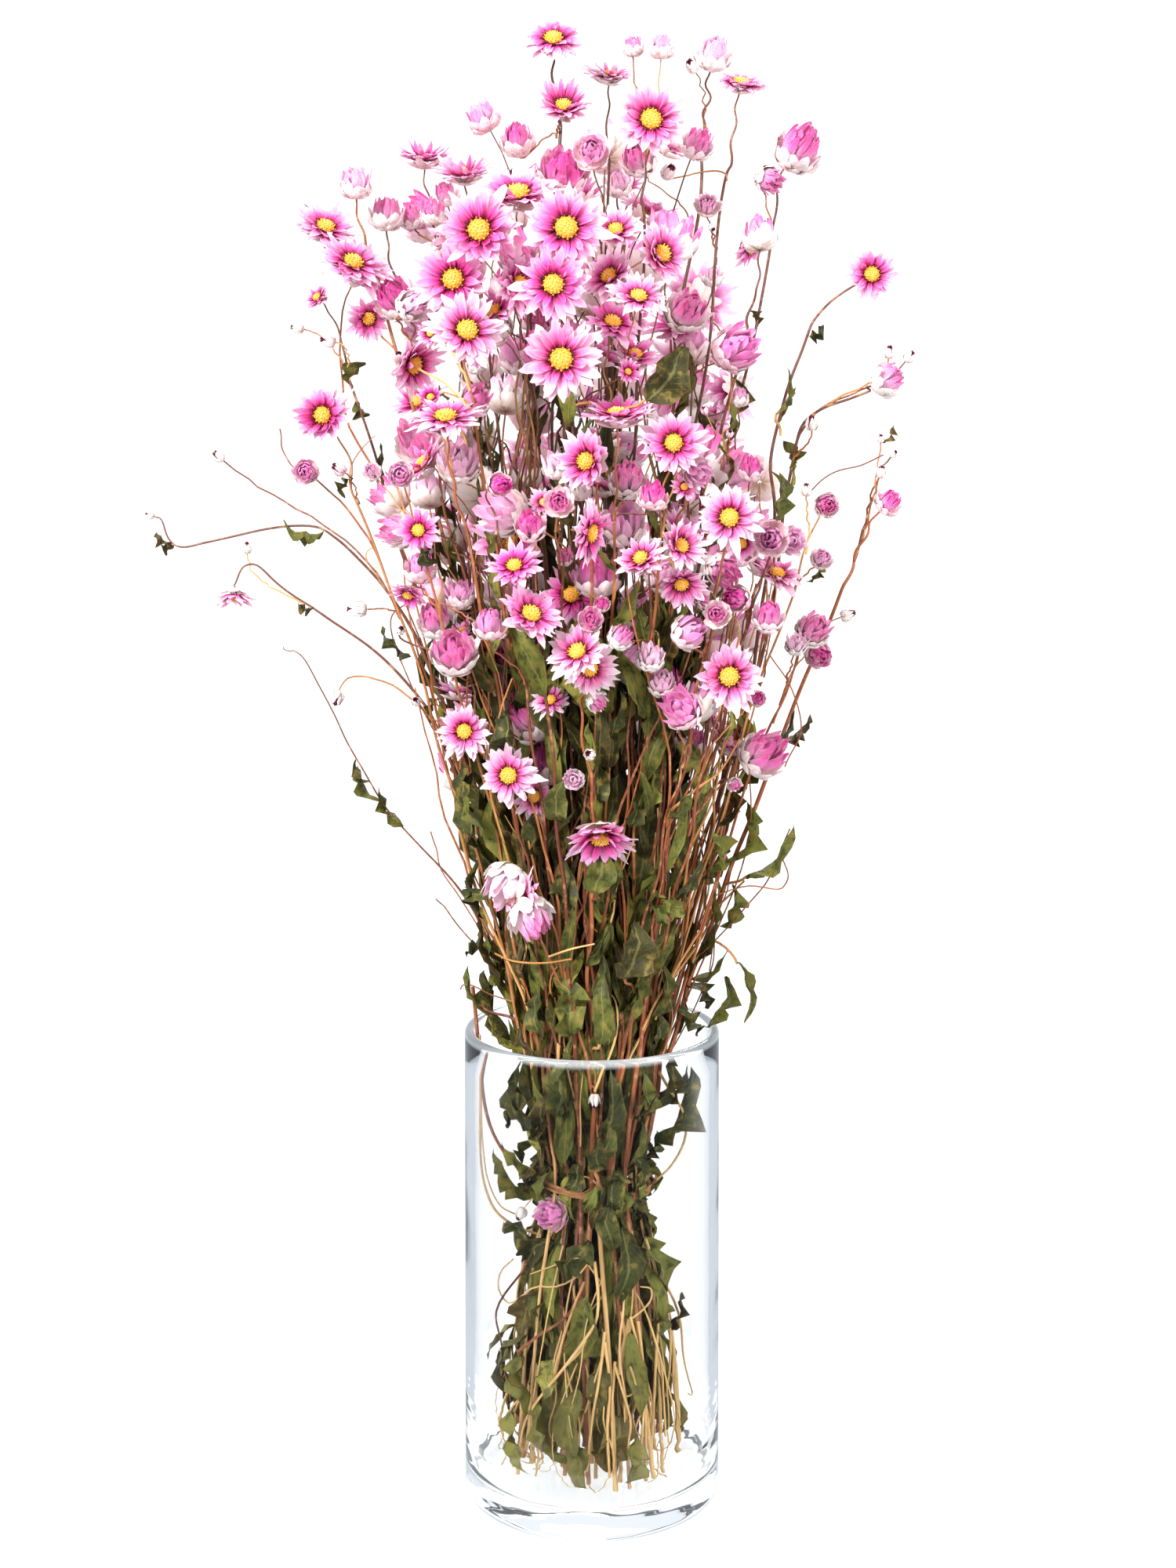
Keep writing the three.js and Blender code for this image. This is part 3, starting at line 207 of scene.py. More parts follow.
# %% Flower heads
HEAD_ROWS = [
    [(-15, 570, 12, "o", 0, 45, -0.2, 0.55), (-11, 544, 11, "o", 10, 50, -0.3, 0.5),
     (-29, 531, 7.5, "h", -10, 65, 0.1, 0.6)],
    [(7, 556, 9.5, "o", 20, 72, 0.3, 0.45), (0, 527, 7.5, "h", 0, 15, -0.6, 0.75),
     (-11, 519, 10.5, "h", 10, 45, -0.2, 0.8)],
    [(23, 539, 14, "o", 5, 12, -0.6, 0.45), (16, 567, 4.5, "h", -10, 85, 0.1, 0.6),
     (27, 567, 5.5, "h", 10, 80, 0, 0.6)],
    [(47, 564, 7.5, "h", 20, 65, 0.4, 0.45), (39, 560, 3.5, "b", -40, 40, 0.3, 0.2),
     (18, 524, 8, "h", -20, 35, -0.3, 0.4)],
    [(58, 553, 10, "o", 20, 65, 0, 0.5), (30, 519, 4, "b", 30, 30, -0.1, 0.4),
     (45, 506, 5, "h", 0, 25, 0, 0.5), (47, 497, 2, "b", 20, -30, 0, 0.4)],
    [(80, 528, 10.5, "h", 40, 45, 0.1, 0.6), (69, 516, 6, "h", 50, -30, 0.1, 0.3),
     (62, 490, 9.5, "o", 60, -35, 0.2, 0.6)],
    [(-65, 524, 11, "o", 0, 80, 0.2, 0.75), (-57, 510, 5.5, "h", -20, 60, 0.4, 0.3),
     (-62, 503, 5.5, "h", 0, 70, 0.1, 0.35), (-70, 501, 5, "h", -20, 60, 0.4, 0.3)],
    [(-50, 518, 11, "o", 0, 68, 0.1, 0.5), (-44, 496, 15, "o", 0, 8, -0.9, 0.65)],
    [(-29, 510, 15, "o", 0, 52, -0.5, 0.55), (-29, 475, 12, "o", 50, 5, -0.7, 0.55)],
    [(-10, 497, 15, "o", 0, 6, -0.9, 0.7), (-15, 475, 13.5, "o", 0, 3, -1, 0.85)],
    [(-92, 514, 7, "h", 0, 75, 0.1, 0.45), (-104, 497, 12, "o", 30, 50, 0.1, 0.55),
     (-93, 483, 13, "o", 35, 45, -0.3, 0.6)],
    [(-80, 502, 7.5, "h", 10, 75, 0.4, 0.35), (-54, 477, 14, "o", -5, 8, -0.9, 0.7)],
    [(10, 514, 6, "h", 0, 60, 0.5, 0.3), (10, 496, 10, "o", 0, 40, -0.4, 0.4),
     (7, 478, 11, "o", -35, 35, -0.6, 0.45)],
    [(14, 514, 5.5, "o", 20, 60, 0.6, 0.8), (27, 487, 12, "o", 35, 8, -0.7, 0.45),
     (18, 470, 11, "o", 15, 50, -0.8, 0.35)],
    [(8, 460, 11, "o", 20, 50, -0.5, 0.8), (-12, 446, 15, "o", 0, 5, -1, 0.4)],
    [(-77, 470, 9.5, "h", -30, 40, -0.2, 0.8), (-70, 467, 7, "h", 50, 20, -0.4, 0.35),
     (-87, 462, 8.5, "o", 30, -15, 0, 0.8)],
    [(-107, 470, 6, "o", -40, 30, 0.3, 0.6), (-115, 458, 3, "b", -80, 10, 0.3, 0.15),
     (-103, 453, 3.5, "b", -80, 10, 0, 0.35)],
    [(-49, 457, 14, "o", 18, 20, -0.9, 0.3), (-63, 456, 5.5, "o", -20, 10, -0.6, 0.5),
     (-70, 444, 12, "o", 50, -15, -0.6, 0.45), (-75, 446, 3.5, "b", -20, 60, -0.3, 0.4)],
    [(37, 465, 9.5, "h", 20, 30, -0.3, 0.3), (47, 478, 4.5, "h", 0, 70, 0.2, 0.2),
     (56, 450, 10, "h", 40, 25, -0.4, 0.95)],
    [(109, 479, 10, "o", 5, 5, -0.2, 0.65)],
    [(115, 439, 7.5, "h", 70, 25, 0.3, 0.25), (116, 448, 3, "b", 0, 60, 0.3, 0.3),
     (124, 447, 3, "b", 60, 50, 0.3, 0.3), (86, 421, 3.5, "b", 0, 80, 0, 0.1)],
    [(-20, 462, 7.5, "h", -20, 30, 0, 0.6), (-45, 444, 4.5, "h", 0, 70, 0, 0.3),
     (14, 441, 5, "o", 30, 20, -0.6, 0.8)],
    [(-105, 424, 11.5, "o", -12, 5, -0.5, 0.7), (-112, 402, 5.5, "h", 0, 5, -0.5, 0.85),
     (-99, 403, 3.5, "b", -60, 30, -0.5, 0.7), (-92, 348, 4.5, "b", -85, 0, -0.5, 0.35),
     (-146, 408, 3, "b", -60, 40, 0, 0.1)],
    [(-75, 401, 5.5, "h", 0, 5, -1, 0.7), (-86, 402, 4, "h", -20, 30, -0.6, 0.5),
     (-68, 379, 8.5, "o", 0, 10, -1, 0.9), (-72, 354, 7, "o", -20, -50, -0.8, 0.8)],
    [(-56, 423, 14, "o", 0, 65, -0.8, 0.4), (-63, 431, 5.5, "o", -10, 30, -0.7, 0.95),
     (-67, 364, 7, "h", 10, 70, -0.8, 0.8), (-61, 344, 8.5, "h", -10, 50, -0.7, 0.35),
     (-75, 340, 2.5, "b", 20, 30, -0.8, 0.1)],
    [(-46, 430, 7, "h", 40, 40, -0.6, 0.3), (-52, 405, 8.5, "h", 0, 50, -0.6, 0.25),
     (-52, 353, 6, "h", 0, 75, -0.6, 0.7), (-54, 331, 10, "h", 0, 45, -1, 0.5)],
    [(-36, 397, 5.5, "h", 30, 5, -1, 1), (-30, 365, 10, "o", -10, 45, -1, 0.9),
     (-40, 342, 7, "h", 10, 70, -1, 0.85), (-50, 300, 10, "o", -5, 10, -1, 0.4),
     (-69, 312, 2.5, "b", -10, 30, -0.6, 0.3)],
    [(-24, 381, 7, "h", 0, 45, -1, 0.8), (-19, 390, 5.5, "o", 0, 10, -0.8, 0.5),
     (-24, 346, 12.5, "o", 25, 40, -1, 0.55)],
    [(-14, 404, 6, "h", -10, 70, -0.8, 0.15), (-13, 390, 6, "h", 0, 15, -1, 0.6),
     (-11, 368, 3.5, "h", 0, 60, -0.7, 0.5)],
    [(-2, 406, 12, "o", -25, 8, -0.9, 0.55), (-1, 378, 12, "o", 65, -10, -1, 0.65),
     (-5, 332, 12, "o", -25, 40, -1, 0.2)],
    [(2, 361, 10, "h", 0, 70, -0.7, 0.7), (4, 350, 3.5, "h", 0, 40, -0.8, 0.8),
     (-1, 343, 5.5, "h", 0, 20, -1, 0.6), (-16, 312, 7.5, "o", -10, 45, -0.8, 0.5)],
    [(10, 424, 13, "o", 0, 78, -0.9, 0.75), (14, 399, 8.5, "h", 0, 50, -0.7, 0.2),
     (24, 392, 6, "h", 10, 75, -0.9, 0.85)],
    [(32, 413, 12, "o", 5, 8, -0.9, 0.6), (41, 402, 6, "h", 30, -20, -0.9, 0.6),
     (20, 368, 10, "o", -25, 35, -1, 0.3), (11, 337, 5.5, "h", 50, 40, -1, 0.2)],
    [(36, 396, 5.5, "o", 0, 20, -0.8, 0.6), (34, 372, 10, "o", 35, 25, -1, 0.25),
     (35, 359, 10, "o", 5, -40, -1, 0.4), (23, 329, 6, "h", 10, 60, -0.9, 0.1)],
    [(54, 384, 12.5, "o", -10, 5, -1, 0.3), (58, 373, 7, "o", 10, -10, -0.8, 0.4),
     (49, 346, 5.5, "h", -10, 10, -1, 0.45), (38, 339, 7.5, "h", 50, 25, -0.9, 0.7)],
    [(57, 431, 4.5, "h", 0, 80, -0.2, 0.6), (44, 426, 2, "b", -30, 50, -0.5, 0.9),
     (54, 417, 2, "b", 0, 40, -0.5, 0.9), (62, 403, 6, "h", 0, 65, -0.5, 0.75)],
    [(70, 376, 7, "h", -10, 5, -0.9, 0.75), (78, 375, 5.5, "h", 10, 5, -0.7, 0.5),
     (52, 364, 7, "h", 40, -25, -0.8, 0.55), (56, 353, 6, "h", -40, 10, -0.8, 0.95)],
    [(92, 389, 5.5, "h", 5, 5, -0.5, 0.5), (84, 395, 3, "b", 0, 70, -0.3, 0.1),
     (90, 368, 4.5, "h", 20, 30, -0.5, 0.5), (69, 345, 7, "h", 10, 60, -0.9, 0.55)],
    [(116, 390, 5.5, "h", 50, 40, 0, 0.75), (113, 402, 3, "b", 20, 60, 0, 0.15),
     (113, 415, 2, "b", 0, 60, 0, 0.3), (118, 409, 2, "b", 40, 40, 0, 0.3)],
    [(87, 340, 7.5, "h", 25, 35, -0.4, 0.3), (89, 330, 6, "h", 20, -10, -0.4, 0.7),
     (100, 346, 3.5, "b", 80, 20, 0, 0.25), (80, 334, 4.5, "h", 20, 60, -0.6, 0.1)],
    [(53, 322, 13, "o", 0, 5, -1, 0.4), (65, 313, 3.5, "h", 20, 30, -0.9, 0.8),
     (67, 291, 10, "h", 45, 35, -0.8, 0.5), (56, 279, 3, "h", 20, -20, -0.8, 0.3)],
    [(35, 309, 8.5, "h", -35, 30, -1, 0.9), (27, 319, 6, "h", 0, 50, -0.8, 0.25),
     (-1, 325, 11, "o", 10, -15, -1, 0.15)],
    [(2, 312, 4.5, "h", 50, -30, -1, 0.1), (-1, 291, 3, "b", -20, 20, -1, 0.05),
     (-7, 281, 4.5, "h", -10, 10, -1, 0.15), (3, 259, 13, "o", 0, -50, -1, 0.75)],
    [(-32, 283, 11, "o", 0, 5, -1, 0.35), (-23, 274, 8.5, "o", 15, 15, -0.9, 0.4),
     (-26, 235, 10.5, "o", 110, 5, -1, 0.15)],
    [(1, 154, 3, "b", 0, -70, -1, 0.15), (-16, 109, 6.5, "h", -35, 10, -1, 0.9),
     (-28, 109, 3, "b", -40, -40, -0.9, 0.3)],
    [(-140, 353, 8.5, "o", 0, -75, 0, 0.3), (-135, 372, 2.5, "b", 0, 80, 0, 0.4),
     (-100, 313, 3.5, "b", -20, -60, -0.3, 0.35)],
    [(-173, 385, 2, "b", -90, 20, 0, 0.5)],
    [(-125, 338, 8, "l", -70, 50, 0, 0.2)],
]

OUTLINE_Z = [120, 150, 187, 230, 280, 340, 400, 470, 530, 580]
OUTLINE_WIDTH = [22, 32, 41, 50, 60, 87, 98, 92, 80, 45]
DEPTH_SHARE = 0.85

# %% [markdown]
# The rest of the measurements: the ring of stems at its feet, at the tie and in between, the few stems that
# leave the bunch by a way of their own, and the stems that are repeated on the hidden side.

# %% Measurements of the bunch
VASE_RADIUS, VASE_HEIGHT, VASE_WALL, VASE_FLOOR = 50.0, 183.5, 3.6, 11.0
VASE_CORNER, VASE_INNER_CORNER = 4.5, 4.0
TOUCH = 0.3
TIE_HEIGHT, TIE_SLANT = 123.5, 3.0
NECK_RADIUS, SKIRT_HEIGHT, SKIRT_RADIUS, FEET_RADIUS = 20.5, 78.0, 30.0, 34.0
FEET_HEIGHT = VASE_FLOOR + TOUCH
STEM_THICK = 1.5
FAN_POWER, FLOWERING_REACH, BRANCH_REACH = 1.3, 34.0, 26.0

# Stems with a way of their own, numbered from 0, and the points x, z that they pass, as seen
ROUTES = {
    19: [(45, 250), (64, 330), (71, 388), (72, 419), (82, 450), (90, 465)],
    20: [(47, 250), (69, 340), (77, 400), (85, 423), (107, 433)],
    45: [(-36, 230), (-58, 295), (-73, 320), (-98, 341), (-118, 354), (-134, 366)],
    46: [(-35, 240), (-58, 310), (-75, 348), (-95, 371), (-106, 380), (-124, 380), (-148, 375), (-163, 373)],
    47: [(-40, 215), (-51, 236), (-76, 264), (-92, 288), (-102, 308), (-115, 331)],
}
BACK_ROWS = [11, 9, 14, 17, 24, 27, 29, 32, 34, 40]
BACK_SHARE, BACK_DROP = 0.8, 9.0

# Large leaves as seen: x and z of the foot, x and z of the tip, width, depth
LARGE_LEAVES = np.array([
    (21, 430, 38, 451, 17, -0.95),
    (72, 424, 77, 443, 8, -0.3),
    (70, 382, 73, 402, 13, -0.6),
    (2, 236, 4, 254, 13, -1.05),
    (13, 202, 18, 225, 17, -1.05),
    (3, 176, 5, 205, 9, -1.05),
    (60, 242, 79, 264, 14, -0.4),
    (57, 209, 61, 184, 9, -0.3),
    (-43, 191, -49, 208, 6, -0.4),
])

# %% Heads in space
# How far each kind reaches across and deep, and where its stalk ends, in shares of its radius
SHAPES = {"o": (1.0, 0.42, 0.5), "h": (0.78, 0.95, 0.95), "b": (0.72, 1.1, 1.1), "l": (0.4, 1.0, 1.0)}


def outline(z):
    """Half the width of the bunch at height z, read along the rows."""
    return np.interp(z, OUTLINE_Z, OUTLINE_WIDTH)


def depth_at(x, z, share):
    """Depth y of something at share of the way out: the bunch is an oval 0.85 as deep as it is wide."""
    room = np.maximum(0.2, 1 - (x / (outline(z) + 12)) ** 2)
    return share * DEPTH_SHARE * outline(z) * np.sqrt(room)


def nearness(y):
    """By how much a length at depth y is longer than it would show on the middle plane."""
    return (EYE_DISTANCE + y) / EYE_DISTANCE


def unproject(x, z, y):
    """A reading on the middle plane moved along the line of sight to depth y."""
    return x * nearness(y), EYE_HEIGHT + (z - EYE_HEIGHT) * nearness(y)


rows = HEAD_ROWS + [HEAD_ROWS[row] for row in BACK_ROWS]
STEM_COUNT = len(rows)
stem_of = np.repeat(np.arange(STEM_COUNT), [len(row) for row in rows])
leading = np.diff(stem_of, prepend=-1) > 0
turned = stem_of >= len(HEAD_ROWS)
heads = [head for row in rows for head in row]
kind = np.array([head[3] for head in heads])
numbers = np.array([head[:3] + head[4:] for head in heads], float)
seen_x, seen_z, seen_radius, yaw, pitch, share, tint = numbers.T
seen_y = depth_at(seen_x, seen_z, share)
face = np.radians(yaw + np.where(turned, 180, 0))
up = np.radians(pitch)
head_axis = xyz(np.sin(face) * np.cos(up), -np.cos(face) * np.cos(up), np.sin(up))
world_x, world_z = unproject(seen_x, seen_z, seen_y)
head_at = np.where(
    turned[:, None], xyz(-seen_x * BACK_SHARE, -seen_y, seen_z - BACK_DROP), xyz(world_x, seen_y, world_z),
)
radius = np.where(turned, seen_radius, seen_radius * (EYE_DISTANCE + seen_y) / EYE_DISTANCE)
across, deep, foot_share = radius[:, None].T * np.array([SHAPES[k] for k in kind]).T
print(len(heads), "heads on", STEM_COUNT, "stems")

# %% [markdown]
# ## Room between the heads
#
# A reading from one picture gives no true depth, so neighbouring heads would sit in each other. They are
# taken as flattened balls that push each other apart, mostly in depth, while a weak spring holds each one
# to where it was seen. It is a relaxation, as in a physics toy, and the solids were spread by the same rule.

# %% Pushing heads apart
SPREAD_STEPS, CLEAR_STEPS = 160, 80
STEM_CLEAR, SPREAD_PUSH, SPREAD_PULL, SPREAD_GAP, SAME_STEM = 2.8, 0.25, 0.02, 1.2, 1.05
SPREAD_WAY = np.array([0.35, 1.0, 0.35])
PAIR_NEAR = 1.2 * (radius[:, None] + radius[None])
PAIR_SHARE = np.where(stem_of[:, None] == stem_of[None], SAME_STEM, 1.0)


def reach_of(c, deep, across):
    """From a head's middle to its surface: 1 / sqrt(c / deep^2 + (1 - c) / across^2), with c the square of
    the cosine between the direction and the head's axis."""
    return 1 / np.sqrt(c / deep**2 + (1 - c) / across**2)


def push_from_heads(at):
    """The sum of pushes on each head from every other one that it overlaps."""
    way = at[:, None] - at[None]
    distance = np.linalg.norm(way, axis=-1)
    np.fill_diagonal(distance, np.inf)
    way = way / distance[..., None]
    reach = reach_of((way * head_axis[:, None]).sum(axis=-1) ** 2, deep[:, None], across[:, None])
    reach += reach_of((way * head_axis[None]).sum(axis=-1) ** 2, deep[None], across[None])
    overlap = (reach + SPREAD_GAP) * PAIR_SHARE - distance
    overlap = np.where((overlap > 0) & (distance <= PAIR_NEAR), overlap, 0.0)
    return (way * overlap[..., None]).sum(axis=1) * SPREAD_PUSH * SPREAD_WAY


def nearest_on(start, end, place):
    """The point of the segment start to end that is nearest to place."""
    way = end - start
    t = ((place - start) * way).sum(axis=-1) / (way**2).sum(axis=-1)
    return start + way * np.clip(t, 0, 1)[..., None]


def push_from_stems(at, curves):
    """The push on each head from the one stem that passes nearest to its middle."""
    start, end = curves[None, :, 2:-1], curves[None, :, 3:]
    spot = nearest_on(start, end, at[:, None, None])
    distance = np.linalg.norm(spot - at[:, None, None], axis=-1)
    over = np.minimum(start[..., 2], end[..., 2]) > at[:, 2, None, None] + 20
    hidden = np.logical_or.accumulate(over, axis=2)
    own = leading[:, None] & (stem_of[:, None] == np.arange(len(curves))[None])
    distance = np.where(hidden | own[..., None], np.inf, distance).reshape(len(at), -1)
    nearest = np.arange(len(at)), distance.argmin(axis=1)
    way = unit(at - spot.reshape(len(at), -1, 3)[nearest])
    least = distance[nearest]
    overlap = reach_of((way * head_axis).sum(axis=-1) ** 2, deep, across) + STEM_CLEAR - least
    near = (least < radius * 1.2 + STEM_CLEAR) & (overlap > 0)
    return way * np.where(near, overlap, 0.0)[:, None] * SPREAD_PUSH * SPREAD_WAY


def spread_heads(at, curves, steps):
    """Repeats push, then pull a little of the way back to where the head was seen."""
    for _ in range(steps):
        push = push_from_heads(at)
        if curves is not None:
            push = push + push_from_stems(at, curves)
        at = at + push
        home_x, home_z = unproject(seen_x, seen_z, at[:, 1])
        pull = xyz(home_x - at[:, 0], 0.0, home_z - at[:, 2]) * SPREAD_PULL
        at = at + np.where(turned[:, None], 0.0, pull)
    return at


head_at = spread_heads(head_at, None, SPREAD_STEPS)
print("first head now at", head_at[0].round(2))

# %% [markdown]
# ## Places in the neck
#
# Sixty stems through one tie fill a round patch evenly, which a sunflower pattern does: each next place is
# turned by the golden angle and lies further out by the square root. A stem whose head is at the left
# wants a place at the left, so places are swapped in pairs as long as a swap brings both nearer.

# %% Sharing out the places
GOLDEN_ANGLE = math.pi * (3 - math.sqrt(5))
SLOT_LOW, SLOT_HIGH = 1.4, 0.7
lead = np.flatnonzero(leading)


def share_places():
    """Sunflower places r = sqrt((k + 0.5) / n) at k golden angles, swapped until no swap helps."""
    k = np.arange(STEM_COUNT)
    r = np.sqrt((k + 0.5) / STEM_COUNT)
    places = xyz(r * np.cos(k * GOLDEN_ANGLE), r * np.sin(k * GOLDEN_ANGLE))
    x, y, z = head_at[lead].T
    outwards = SLOT_LOW + (SLOT_HIGH - SLOT_LOW) * ((z - TIE_HEIGHT) / (OUTLINE_Z[-1] - TIE_HEIGHT))
    wanted = xyz(x / outline(z) * outwards, y / (outline(z) * DEPTH_SHARE) * outwards)
    cost = ((places[:, None] - wanted[None]) ** 2).sum(axis=-1)
    holds = list(range(STEM_COUNT))
    changed = True
    while changed:
        changed = False
        for i in range(STEM_COUNT):
            for j in range(i + 1, STEM_COUNT):
                now = cost[holds[i], i] + cost[holds[j], j]
                if cost[holds[j], i] + cost[holds[i], j] < now - 1e-9:
                    holds[i], holds[j] = holds[j], holds[i]
                    changed = True
    return places[holds]


places = share_places()
print("place of the first stem:", places[0].round(3))

# %% [markdown]
# ## The ways of the stems
#
# A stem stands on the vase's floor, passes the tie and fans out to its head: a power curve in height, then
# a Bezier that swings round to meet the head from behind. The few stems with a way of their own follow a
# Catmull-Rom curve through the points where they were seen.

# %% Curves
def bezier(start, start_way, end, end_way, steps):
    """Cubic Bezier, its handles 0.42 of the span along the way out and 0.36 of it along the way in."""
    span = np.linalg.norm(end - start, axis=-1, keepdims=True)
    a, b = start + start_way * span * 0.42, end - end_way * span * 0.36
    t = np.linspace(0, 1, steps + 1)[:, None]
    start, a, b, end = (v[..., None, :] for v in (start, a, b, end))
    return start * (1 - t) ** 3 + a * 3 * t * (1 - t) ** 2 + b * 3 * t**2 * (1 - t) + end * t**3


def centripetal(points, steps):
    """Catmull-Rom curve through points, with knots spaced by the square root of the distance."""
    points = np.asarray(points, float)
    ends = np.vstack([2 * points[0] - points[1], points, 2 * points[-1] - points[-2]])
    place = np.linspace(0, len(points) - 1, steps + 1)
    cell = np.minimum(place.astype(int), len(points) - 2)
    t = (place - cell)[:, None]
    p0, p1, p2, p3 = (ends[cell + k] for k in range(4))
    d0, d1, d2 = (np.sqrt(np.linalg.norm(b - a, axis=1))[:, None] for a, b in ((p0, p1), (p1, p2), (p2, p3)))
    m1 = ((p1 - p0) / d0 - (p2 - p0) / (d0 + d1) + (p2 - p1) / d1) * d1
    m2 = ((p2 - p1) / d1 - (p3 - p1) / (d1 + d2) + (p3 - p2) / d2) * d1
    return p1 + m1 * t + (-3 * p1 + 3 * p2 - 2 * m1 - m2) * t**2 + (2 * p1 - 2 * p2 + m1 + m2) * t**3


def head_foot(at):
    """Where a head's stalk ends: 0.8 of its depth behind its middle."""
    return at - head_axis * (foot_share * 0.8)[:, None]


def stem_curves(at):
    """21 points for each stem: foot, skirt, neck, 12 of the fan and 6 of the swing to the head."""
    foot, axis = head_foot(at)[lead], head_axis[lead]
    level = np.array([(FEET_RADIUS, FEET_HEIGHT), (SKIRT_RADIUS, SKIRT_HEIGHT), (NECK_RADIUS, TIE_HEIGHT)])
    flat = places[:, None] * level[:, :1]
    base = xyz(flat[..., 0], flat[..., 1], level[:, 1])
    neck = base[:, 2]
    rise = foot[:, 2] - TIE_HEIGHT
    reach = np.minimum(FLOWERING_REACH, rise * 0.6)

    def fan(z):
        s = np.maximum(0, (z - TIE_HEIGHT) / rise[:, None])[..., None] ** FAN_POWER
        flat = neck[:, None, :2] + (foot[:, None, :2] - neck[:, None, :2]) * s
        return xyz(flat[..., 0], flat[..., 1], z)

    heights = TIE_HEIGHT + (rise - reach)[:, None] * np.arange(1, 13) / 12
    upper = fan(heights)
    leave = upper[:, -1]
    way = unit(leave - fan(heights[:, -1:] - 4)[:, 0])
    curves = np.concatenate([base, upper, bezier(leave, way, foot, axis, 6)[:, 1:]], axis=1)
    for stem, seen in ROUTES.items():
        x, z = np.array(seen, float).T
        rising = np.minimum(1, (z - TIE_HEIGHT) / (foot[stem, 2] - TIE_HEIGHT))
        y = neck[stem, 1] + (foot[stem, 1] - neck[stem, 1]) * rising
        x, z = unproject(x, z, y)
        via = np.vstack([neck[stem], xyz(x, y, z), foot[stem] - 2 * axis[stem], foot[stem]])
        curves[stem, 3:] = centripetal(via, 18)[1:]
    return curves


head_at = spread_heads(head_at, stem_curves(head_at), CLEAR_STEPS)
curves = stem_curves(head_at)
COARSE = [0, 1, 2, 6, 10, 14, 17, 20]
lines = curves[:, COARSE]
print("first stem ends at", curves[0, -1].round(2))

# %% [markdown]
# Side heads hang on thin stalks of their own. A stalk leaves its stem some way below the head, the further
# out the head is the lower, and first runs along with the stem before it bends away.

# %% Side stalks
side = np.flatnonzero(~leading)
side_stem = stem_of[side]
side_foot = head_foot(head_at)[side]
own_curve = curves[side_stem]
away = np.linalg.norm((side_foot - own_curve[:, 12])[:, :2], axis=-1)
leave_height = side_foot[:, 2] - np.maximum(BRANCH_REACH, away)
reached = own_curve[:, 1:17, 2] >= leave_height[:, None]
reached[:, -1] = True
leave_at = 1 + reached.argmax(axis=1)
row = np.arange(len(side))
stalk_way = unit(own_curve[row, leave_at + 1] - own_curve[row, leave_at - 1])
stalks = bezier(own_curve[row, leave_at], stalk_way, side_foot, head_axis[side], 16)
print(len(side), "side stalks")

# %% [markdown]
# ## Whose each stem is
#
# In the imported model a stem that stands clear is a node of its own, and stems that grew into each other are
# one node. The node's name lists its stems, so the name says which shapes replace it.

# %% Stems of each node
node_stems = {
    name: [int(number) - 1 for number in re.findall(r"\d+", name)]
    for name in sorted(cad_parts) if name.startswith("flowering_stem")
}
print(len(node_stems), "stem nodes,", sum(len(own) for own in node_stems.values()), "stems")

# %% [markdown]
# ## Stems
#
# A dried stem is thin, a little crooked, thicker where it was cut and hair-thin under the flower. The
# coarse points of the solids are smoothed with a Catmull-Rom curve, a few slow sine waves make each one
# crooked in its own way, and a ring carried along the curve gives the round stem.

# %% Fine curves and tubes
rng = np.random.default_rng(7)
draw = rng.uniform
lots = []
SLOT_STEM, SLOT_LEAF, SLOT_PETAL, SLOT_BRACT, SLOT_DISC = range(5)
FREE_MIDDLE, FREE_END = ((0, 0.3, 0.8, 1), (0, 1, 1, 0)), ((0, 0.4, 1), (0, 1, 1))

# Reach of the outermost stems, measured on the curves above
STEMS_Z = [20, 60, 100, 128, 150, 187, 214, 245, 276, 330, 360, 480]
STEMS_REACH = [36, 34, 28, 22, 26, 34, 41, 50, 60, 74, 82, 77]
# The three stems that stand away from the bunch by themselves
OUTLYING = np.isin(np.arange(STEM_COUNT), [45, 46, 47])


def refine(points, parts):
    """Catmull-Rom through the points of many curves at once, each span cut in parts."""
    before, after = 2 * points[:, :1] - points[:, 1:2], 2 * points[:, -1:] - points[:, -2:-1]
    ends = np.concatenate([before, points, after], axis=1)
    p0, p1, p2, p3 = ends[:, :-3, None], ends[:, 1:-2, None], ends[:, 2:-1, None], ends[:, 3:, None]
    t = (np.arange(parts) / parts)[:, None]
    fine = 0.5 * (
        2 * p1 + (p2 - p0) * t + (2 * p0 - 5 * p1 + 4 * p2 - p3) * t**2 + (3 * p1 - p0 - 3 * p2 + p3) * t**3
    )
    return np.concatenate([fine.reshape(len(points), -1, 3), points[:, -1:]], axis=1)


def carried_frames(paths):
    """Two directions square to each path that turn as little as they can from ring to ring."""
    tangent = unit(np.gradient(paths, axis=1))
    first = np.cross(tangent[:, 0], (0.0, 1.0, 0.0))
    second = np.cross(tangent[:, 0], (1.0, 0.0, 0.0))
    steep = np.linalg.norm(first, axis=-1, keepdims=True) < 0.3
    aside = [unit(np.where(steep, second, first))]
    for k in range(1, paths.shape[1]):
        aside.append(unit(aside[-1] - tangent[:, k] * dot(aside[-1], tangent[:, k])))
    u = np.stack(aside, axis=1)
    return u, np.cross(tangent, u)


